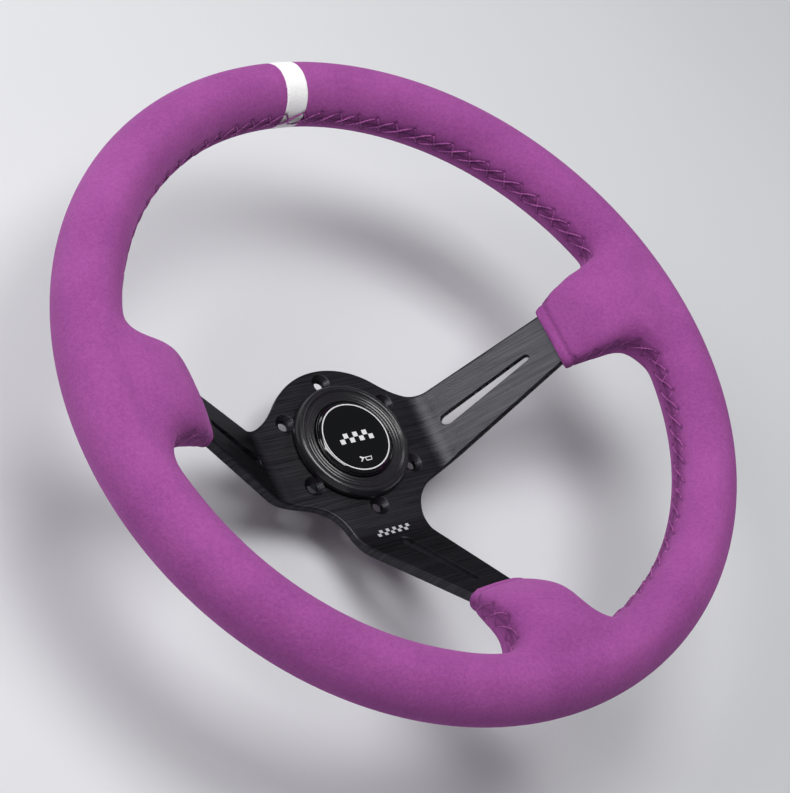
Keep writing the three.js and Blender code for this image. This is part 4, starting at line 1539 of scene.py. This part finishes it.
@dataclass
class Lacing:
    """The thread that laces a seam: two crossing rows of stitches."""

    seam: SeamLine
    radius: float = 0.46
    sides: int = 7
    steps: int = 9
    tightening: float = 0.3
    tight_length: float = 55.0
    top_share: float = 0.9
    under_share: float = 0.35
    dive_depth: float = 0.85

    def build(self) -> bpy.types.Object:
        """Makes every stitch as a closed tube on the skin.

        Returns:
            The lacing, with a map along and around the thread.
        """
        points: list[Vector] = []
        faces: list[list[int]] = []
        maps: list[tuple[float, float]] = []
        for start, end, top in self.seam.stitches():
            self._stitch(start, end, top, points, faces, maps)
        flat = np.array([point[:] for point in points])
        piece = Bench.from_points(self.seam.name.replace("seam_thread", "lacing"), flat, faces)
        layer = piece.data.uv_layers.new(name=THREAD_MAP)
        layer.data.foreach_set("uv", np.array(maps).ravel())
        Bench.pick(piece)
        bpy.ops.object.shade_smooth()
        return piece

    def _stitch(self, start: float, end: float, top: bool, points: list[Vector],
                faces: list[list[int]], maps: list[tuple[float, float]]) -> None:
        """Adds one stitch's tube to the lists."""
        half = self.seam.half_width
        from_end = min(start, end, self.seam.length - max(start, end))
        tight = self.tightening * min(1.0, max(0.0, (self.tight_length - from_end) / 15))
        line, ups = [], []
        for step in range(self.steps + 1):
            share = step / self.steps
            across = 0.2 * share + 0.8 * (3 - 2 * share) * share**2
            place, normal = self.seam.spot(start + (end - start) * share, half * (2 * across - 1))
            dive = max(0.0, 1 - min(share, 1 - share) * 6)
            pressed = math.sin(share * 2 * math.pi) ** 2
            proud = self.radius * (self.top_share if top else self.under_share) * (1 - dive)
            lift = proud - dive**2 * self.dive_depth - 0.15 - 0.3 * pressed - tight
            line.append(place + normal * lift)
            ups.append(normal)
        base = len(points)
        run = 0.0
        runs = []
        for index, place in enumerate(line):
            ahead = line[min(index + 1, self.steps)] - line[max(index - 1, 0)]
            ahead.normalize()
            side = ahead.cross(ups[index]).normalized()
            up = side.cross(ahead).normalized()
            slim = 0.75 if index in (0, self.steps) else 1.0
            for corner in range(self.sides):
                angle = 2 * math.pi * corner / self.sides
                spoke = side * math.cos(angle) + up * math.sin(angle)
                points.append(place + spoke * self.radius * slim)
            if index:
                run += (place - line[index - 1]).length
            runs.append(run)
        for index in range(self.steps):
            for corner in range(self.sides):
                a = base + index * self.sides + corner
                b = base + index * self.sides + (corner + 1) % self.sides
                faces.append([a, a + self.sides, b + self.sides, b])
                near, far = corner / self.sides, (corner + 1) / self.sides
                before, after = runs[index], runs[index + 1]
                maps += [(before, near), (after, near), (after, far), (before, far)]
        first = [base + corner for corner in range(self.sides)]
        last = [base + self.steps * self.sides + corner for corner in range(self.sides)][::-1]
        for cap in (first, last):
            faces.append(cap)
            maps += [(0.0, 0.0)] * self.sides


@dataclass
class Marker:
    """The white leather band in the cover at 12 o'clock, drawn in by the lacing over it."""

    sizes: WheelSizes
    seam: SeamLine
    swell: float = 0.12
    deep: float = 2.4
    count: int = 216
    middle: int = 17

    def _ring(self, x: float, inset: float) -> np.ndarray:
        """One oval section of the band."""
        angle = np.arange(self.count) * 2 * math.pi / self.count
        radius = self.sizes.rim_radius + (self.sizes.grip_width / 2 - inset) * np.cos(angle)
        height = self.sizes.rim_centre + (self.sizes.grip_height / 2 - inset) * np.sin(angle)
        return np.stack([np.full(self.count, x), np.sqrt(radius**2 - x**2), height], 1)

    def build(self) -> bpy.types.Object:
        """Makes the band: a short length of the oval section with rolled edges.

        Returns:
            The band, with a point attribute of painted shade that is 1 in the seam's creases.
        """
        half = self.sizes.marker_width / 2
        rolled = ((0.0, 0.8), (0.12, 0.3), (0.35, 0.08), (0.7, 0.0))
        rings = [self._ring(x - half, inset - self.swell) for x, inset in rolled]
        between = np.linspace(1.2 - half, half - 1.2, self.middle)
        rings += [self._ring(x, -self.swell) for x in between]
        rings += [self._ring(half - x, inset - self.swell) for x, inset in reversed(rolled)]
        skin = np.concatenate(rings)
        depth, shade = self.seam.hollow(skin)
        centre = np.stack([skin[:, 0], np.full(len(skin), self.sizes.rim_radius),
                           np.full(len(skin), self.sizes.rim_centre)], 1)
        inward = (centre - skin) / np.linalg.norm(centre - skin, axis=1)[:, None]
        skin += inward * depth[:, None]
        points = np.concatenate([skin, self._ring(half, self.deep), self._ring(-half, self.deep)])
        faces = Bench.bands(self.count, len(points) // self.count, closed=True)
        piece = Bench.from_points("centre_marker_leather", points, faces)
        # Painted shade in the leather where the lacing draws it in; none on the deep rings.
        Bench.store(piece, SEAM_SHADE, np.pad(shade, (0, 2 * self.count)))
        Bench.outward(piece, 1e-7)
        Bench.smooth(piece, 50)
        return piece


# ---- Horn button ------------------------------------------------------------------------


@dataclass
class HornButton:
    """The button in the hub: trim ring, bezel, lens and its print."""

    sizes: WheelSizes
    lip_radius: float = 21.4
    lens_radius: float = 20.2
    ring_radius: float = 18.2
    skirt_inner: float = 23.2
    skirt_outer: float = 24.7
    shoulder: float = 1.7
    dome: float = 0.12

    def trim(self) -> bpy.types.Object:
        """The stepped trim ring with its skirt."""
        front = self.sizes.plate_front
        base, crest = front + 0.3, front + 6.2
        inner, outer = self.skirt_inner, self.skirt_outer
        lip = self.sizes.lens_top - 2.2
        corners = [
            (inner, front - 9), (outer, front - 9), (outer, 1.0), (24.0, 1.0), (24.0, 4.0),
            (outer, 4.0), (outer, base), (30.2, base), (31.3, base + 1.2), (31.1, base + 2.9),
            (30.5, base + 4.2),
            (29.6, crest - 0.4), (28.6, crest), (27.6, crest - 0.15), (26.8, crest - 0.75),
            (26.2, crest - 1.2), (25.5, crest - 0.85), (24.6, crest - 1.3), (23.9, crest - 0.95),
            (23.0, crest - 1.4), (22.4, crest - 1.05), (21.8, crest - 1.2),
            (self.lip_radius, crest - 1.4), (self.lip_radius, lip - 1.2), (inner, lip - 1.2),
        ]
        profile = rounded(corners, 0.3, 3)
        return Turned("trim_ring_turned", profile, 144, closed=True).build()

    def bezel(self) -> bpy.types.Object:
        """The moving cup that carries the lens."""
        top = self.sizes.lens_top
        floor = top - 1.7
        flange = top - 3.7
        corners = [
            (3.2, floor - 4), (3.2, floor - 1.6), (19.7, floor - 1.6), (19.7, flange - 2.2),
            (22.9, flange - 2.2), (22.9, flange), (21.1, flange), (21.1, top - 1.15),
            (20.9, top - 0.95), (20.5, top - 1.1), (20.5, floor), (0.6, floor),
        ]
        return Turned("button_bezel_turned", rounded(corners, 0.22, 2), 112).build()

    def lens(self) -> bpy.types.Object:
        """The domed gloss lens."""
        top, radius = self.sizes.lens_top, self.lens_radius
        profile: Profile = [(radius, top - 1.4), (radius, top - 1.1), (radius - 0.08, top - 0.92),
                            (radius - 0.3, top - 0.76)]
        for step in range(6):
            share = step / 5
            height = top - 0.68 + 0.62 * share - 0.1 * share**2
            profile.append((radius - 0.45 - share, height))
        profile.append((radius - 1.6, top - 0.135))
        for share in (0.99, 0.8, 0.6, 0.4, 0.2, 0.05):
            profile.append(((radius - self.shoulder) * share, top - self.dome * share**2))
        return Turned("button_lens_domed", profile, 144).build()

    def on_lens(self, points: np.ndarray) -> np.ndarray:
        """Lays flat points on the lens's dome."""
        result = points.copy()
        share = np.hypot(points[:, 0], points[:, 1]) / (self.lens_radius - self.shoulder)
        result[:, 2] = self.sizes.lens_top - self.dome * share**2 - 0.02 + points[:, 2]
        return result

    def light_ring(self) -> bpy.types.Object:
        """The thin printed ring near the lens's edge."""
        top, wide = self.sizes.lens_top, 0.3
        height = top - self.dome * (self.ring_radius / (self.lens_radius - self.shoulder)) ** 2
        inner, outer = self.ring_radius - wide, self.ring_radius + wide
        low, high = height - 0.05, height + 0.03
        corners = [(inner, low), (outer, low), (outer, high), (inner, high)]
        return Turned("lens_ring_print", corners, 144, closed=True).build()

    def horn_symbol(self) -> bpy.types.Object:
        """A plain horn symbol below the middle: a flared bell, a tube and a loop."""
        strokes = [
            [(-3.4, 1.5), (-3.0, 1.5), (-1.3, 0.62), (-1.3, 0.2), (-3.4, -1.5), (-3.7, -1.2),
             (-2.6, 0.0), (-3.7, 1.2)],
            [(-1.4, 0.62), (3.4, 0.62), (3.4, 0.22), (-1.4, 0.22)],
            [(3.0, 0.62), (3.4, 0.62), (2.8, -1.5), (2.4, -1.5)],
            [(-0.2, -1.1), (2.6, -1.1), (2.5, -1.5), (-0.4, -1.5)],
            [(-0.7, 0.3), (-0.3, 0.3), (0.0, -1.2), (-0.4, -1.5)],
        ]
        pieces = []
        for number, stroke in enumerate(strokes):
            flat = np.array([(x, y - 12.2, 0.0) for x, y in stroke])
            placed = self.on_lens(np.concatenate([flat, flat + np.array([0, 0, 0.05])]))
            count = len(stroke)
            faces = [list(range(count))[::-1], list(range(count, 2 * count))]
            faces += Bench.bands(count, 2)
            pieces.append(Bench.from_points(f"symbol_{number}", placed, faces))
        piece = Bench.join("lens_horn_symbol", pieces)
        Bench.outward(piece, 1e-7)
        return piece

    def mark(self) -> bpy.types.Object:
        """The generic chequered mark in the lens's middle."""
        return ChequerMark("lens_chequer_mark", 20.0, 5.6, 7).build(self.on_lens)


@dataclass(frozen=True)
class CoilSpring:
    """The return spring: round wire wound to a helix."""

    radius: float = 6.5
    wire_radius: float = 0.5
    turns: int = 5
    bottom: float = -9.4
    top: float = 4.3
    travel: float = 1.6
    steps: int = 28
    sides: int = 10

    @property
    def seat(self) -> float:
        """Height of the surface the spring stands on."""
        return self.bottom - self.wire_radius

    @property
    def kept(self) -> float:
        """Share of its length that the spring keeps when the button is fully pressed."""
        return 1 - self.travel / (self.top + self.wire_radius - self.seat)

    def build(self) -> bpy.types.Object:
        """Sweeps the wire's round section along the helix.

        Returns:
            The spring, closed at both ends.
        """
        share = np.linspace(0, 1, self.turns * self.steps + 1)
        angle = 2 * math.pi * self.turns * share
        outward = np.stack([np.cos(angle), np.sin(angle), 0 * angle], 1)
        line = outward * self.radius
        line[:, 2] = self.bottom + (self.top - self.bottom) * share
        ahead = np.gradient(line, axis=0)
        ahead /= np.linalg.norm(ahead, axis=1)[:, None]
        upward = np.cross(ahead, outward)
        turn = np.linspace(0, 2 * math.pi, self.sides, endpoint=False)[None, :, None]
        section = np.cos(turn) * outward[:, None] + np.sin(turn) * upward[:, None]
        points = (line[:, None] + self.wire_radius * section).reshape(-1, 3)
        faces = Bench.bands(self.sides, len(line))
        faces += [list(range(self.sides)), list(range(len(points) - self.sides, len(points)))]
        piece = Bench.from_points("return_spring_wound", points, faces)
        Bench.outward(piece)
        Bench.smooth(piece, 50)
        return piece


# ---- Studio -----------------------------------------------------------------------------


@dataclass
class Studio:
    """Floor, lights and camera."""

    floor_height: float = -0.026
    floor_size: float = 12.0
    aim: Point = (0, 0, 0.05)
    lens: float = 79.04
    eye: Point = (-0.4911677, -0.2662003, 0.6607164)
    right: Point = (0.7857065628, -0.4240546774, 0.4503807585)
    down: Point = (-0.1677000066, -0.8468155210, -0.5047575470)
    forward: Point = (0.5954342155, 0.3210624611, -0.7364624845)

    def floor(self) -> None:
        """A plain pale floor."""
        Bench.clear()
        bpy.ops.mesh.primitive_plane_add(size=self.floor_size, location=(0, 0, self.floor_height))
        floor = Bench.named("studio_floor")
        Bench.settle(floor)
        graph = Graph("pale_floor")
        haze = graph.noise(graph.place(), 3, 2)
        colour = graph.tint(haze, (214, 215, 218), (222, 223, 226))
        dress(floor, graph.finish(Base_Color=colour, Roughness=0.85))

    def camera(self) -> None:
        """The camera."""
        data = bpy.data.cameras.new("camera")
        data.lens = self.lens
        data.sensor_width = 36
        data.clip_start = 0.01
        camera = bpy.data.objects.new("camera", data)
        bpy.context.scene.collection.objects.link(camera)
        columns = [Vector(self.right), -Vector(self.down), -Vector(self.forward)]
        turn = Matrix([[column[row] for column in columns] for row in range(3)]).to_4x4()
        camera.matrix_world = Matrix.Translation(self.eye) @ turn
        bpy.context.scene.camera = camera

    def lamp(self, name: str, place: Point, size: tuple[float, float], power: float) -> None:
        """A soft box that points at the wheel.

        Args:
            name: the lamp's name.
            place: where it hangs.
            size: its width and height.
            power: its power in watts.
        """
        data = bpy.data.lights.new(name, "AREA")
        data.shape = "RECTANGLE"
        data.size, data.size_y = size
        data.energy = power
        lamp = bpy.data.objects.new(name, data)
        bpy.context.scene.collection.objects.link(lamp)
        facing = (Vector(self.aim) - Vector(place)).to_track_quat("-Z", "Y")
        lamp.matrix_world = Matrix.Translation(place) @ facing.to_matrix().to_4x4()

    def lights(self) -> None:
        """Soft boxes and a dim surround."""
        for name, place, size, power in (
            ("key_softbox", (-0.1, 0.12, 1.35), (0.6, 0.9), 13),
            ("left_softbox", (-1.0, 0.45, 0.95), (0.6, 0.6), 8),
            ("back_softbox", (-0.3, 1.3, 0.7), (0.8, 0.5), 3),
            ("right_softbox", (1.2, 0.3, 0.62), (0.6, 0.8), 1.5),
            ("near_softbox", (-0.7, -0.9, 0.5), (0.9, 0.7), 0.9),
        ):
            self.lamp(name, place, size, power)
        world = bpy.data.worlds.new("studio")
        world.use_nodes = True
        background = world.node_tree.nodes["Background"]
        background.inputs["Color"].default_value = (0.72, 0.75, 0.82, 1)
        background.inputs["Strength"].default_value = 0.11
        bpy.context.scene.world = world

    def build(self) -> None:
        """Sets up the studio."""
        self.floor()
        self.camera()
        self.lights()
        bpy.context.scene.view_settings.view_transform = "Standard"


# ---- Assembly ---------------------------------------------------------------------------


@dataclass
class SteeringWheel:
    """The whole wheel."""

    sizes: WheelSizes
    finishes: Finishes

    def spokes(self) -> None:
        """The plate and the mark on its lower spoke."""
        plate = SpokePlate(self.sizes)
        role = Role("wheel", "black_aluminium", ("spoke_plate",))
        place_piece(plate.build(), self.finishes.plate, role)
        mark = ChequerMark("spoke_chequer_mark", 20.0, 4.2, 10, 0.06)

        def lay(points: np.ndarray) -> np.ndarray:
            """Lays the mark on the lower spoke's first bend."""
            distance = 50.6 - points[:, 1]
            height, slope = plate.middle_line(distance)
            lift = self.sizes.plate_thickness / 2 - 0.02 + points[:, 2]
            outward = distance - lift * np.sin(slope)
            return np.stack([points[:, 0], -outward, height + lift * np.cos(slope)], 1)

        place_piece(mark.build(lay), self.finishes.engraved, Role("wheel", "white_leather"))

    def grip(self) -> None:
        """Cover, lacing and marker."""
        grip, finishes = Grip(self.sizes), self.finishes
        role = Role("wheel", "suede", ("rim_cover",))
        cover = place_piece(grip.cover(), finishes.suede, role)
        for seam in grip.seams:
            role = Role("wheel", "thread", (seam.name,))
            place_piece(Lacing(seam).build(), finishes.thread, role)
        marker = Marker(self.sizes, grip.seams[0]).build()
        place_piece(marker, finishes.leather, Role("wheel", "white_leather", ("centre_marker",)))

    def button(self) -> None:
        """Trim ring and the moving button."""
        button, finishes, moving = HornButton(self.sizes), self.finishes, "horn_button"
        for make, material, role in (
            (button.trim, finishes.satin, Role("wheel", "satin_plastic", ("trim_ring",))),
            (button.bezel, finishes.gloss, Role(moving, "satin_plastic", ("button_bezel",))),
            (button.lens, finishes.gloss, Role(moving, "gloss_plastic", ("button_lens",))),
            (button.light_ring, finishes.ink, Role(moving, "gloss_plastic")),
            (button.horn_symbol, finishes.ink, Role(moving, "gloss_plastic")),
            (button.mark, finishes.ink, Role(moving, "gloss_plastic")),
        ):
            place_piece(make(), material, role)
        coil = CoilSpring()
        role = Role("wheel", "steel", ("return_spring",))
        spring = place_piece(coil.build(), finishes.steel, role)
        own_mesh(spring)

    def dress_frame(self) -> None:
        """Gives the pieces that keep their CAD shape their finishes."""
        finishes = {
            "rim_hoop": self.finishes.hoop, "rim_padding": self.finishes.foam,
            "moving_contact": self.finishes.brass, "fixed_contact": self.finishes.brass,
            "live_terminal": self.finishes.brass, "earth_terminal": self.finishes.brass,
            "contact_carrier": self.finishes.nylon,
            "horn_housing": self.finishes.nylon, "retaining_collar": self.finishes.rubber,
            "housing_screw_1": self.finishes.steel, "housing_screw_2": self.finishes.steel,
        }
        for number in range(1, 7):
            finishes[f"spoke_rivet_{number}"] = self.finishes.steel
        for name, material in finishes.items():
            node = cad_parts[name]
            dress(node, material)
            LOG.info("%s: CAD shape, %s", name, material.name)

    def build(self) -> None:
        """Builds the wheel."""
        self.spokes()
        self.grip()
        self.button()
        self.dress_frame()


def main() -> None:
    """Builds the studio and the wheel."""
    logging.basicConfig(level=logging.INFO, format="%(name)s: %(message)s")
    Studio().build()
    SteeringWheel(WheelSizes.from_frame(), Finishes()).build()


if __name__ == "__main__":
    main()
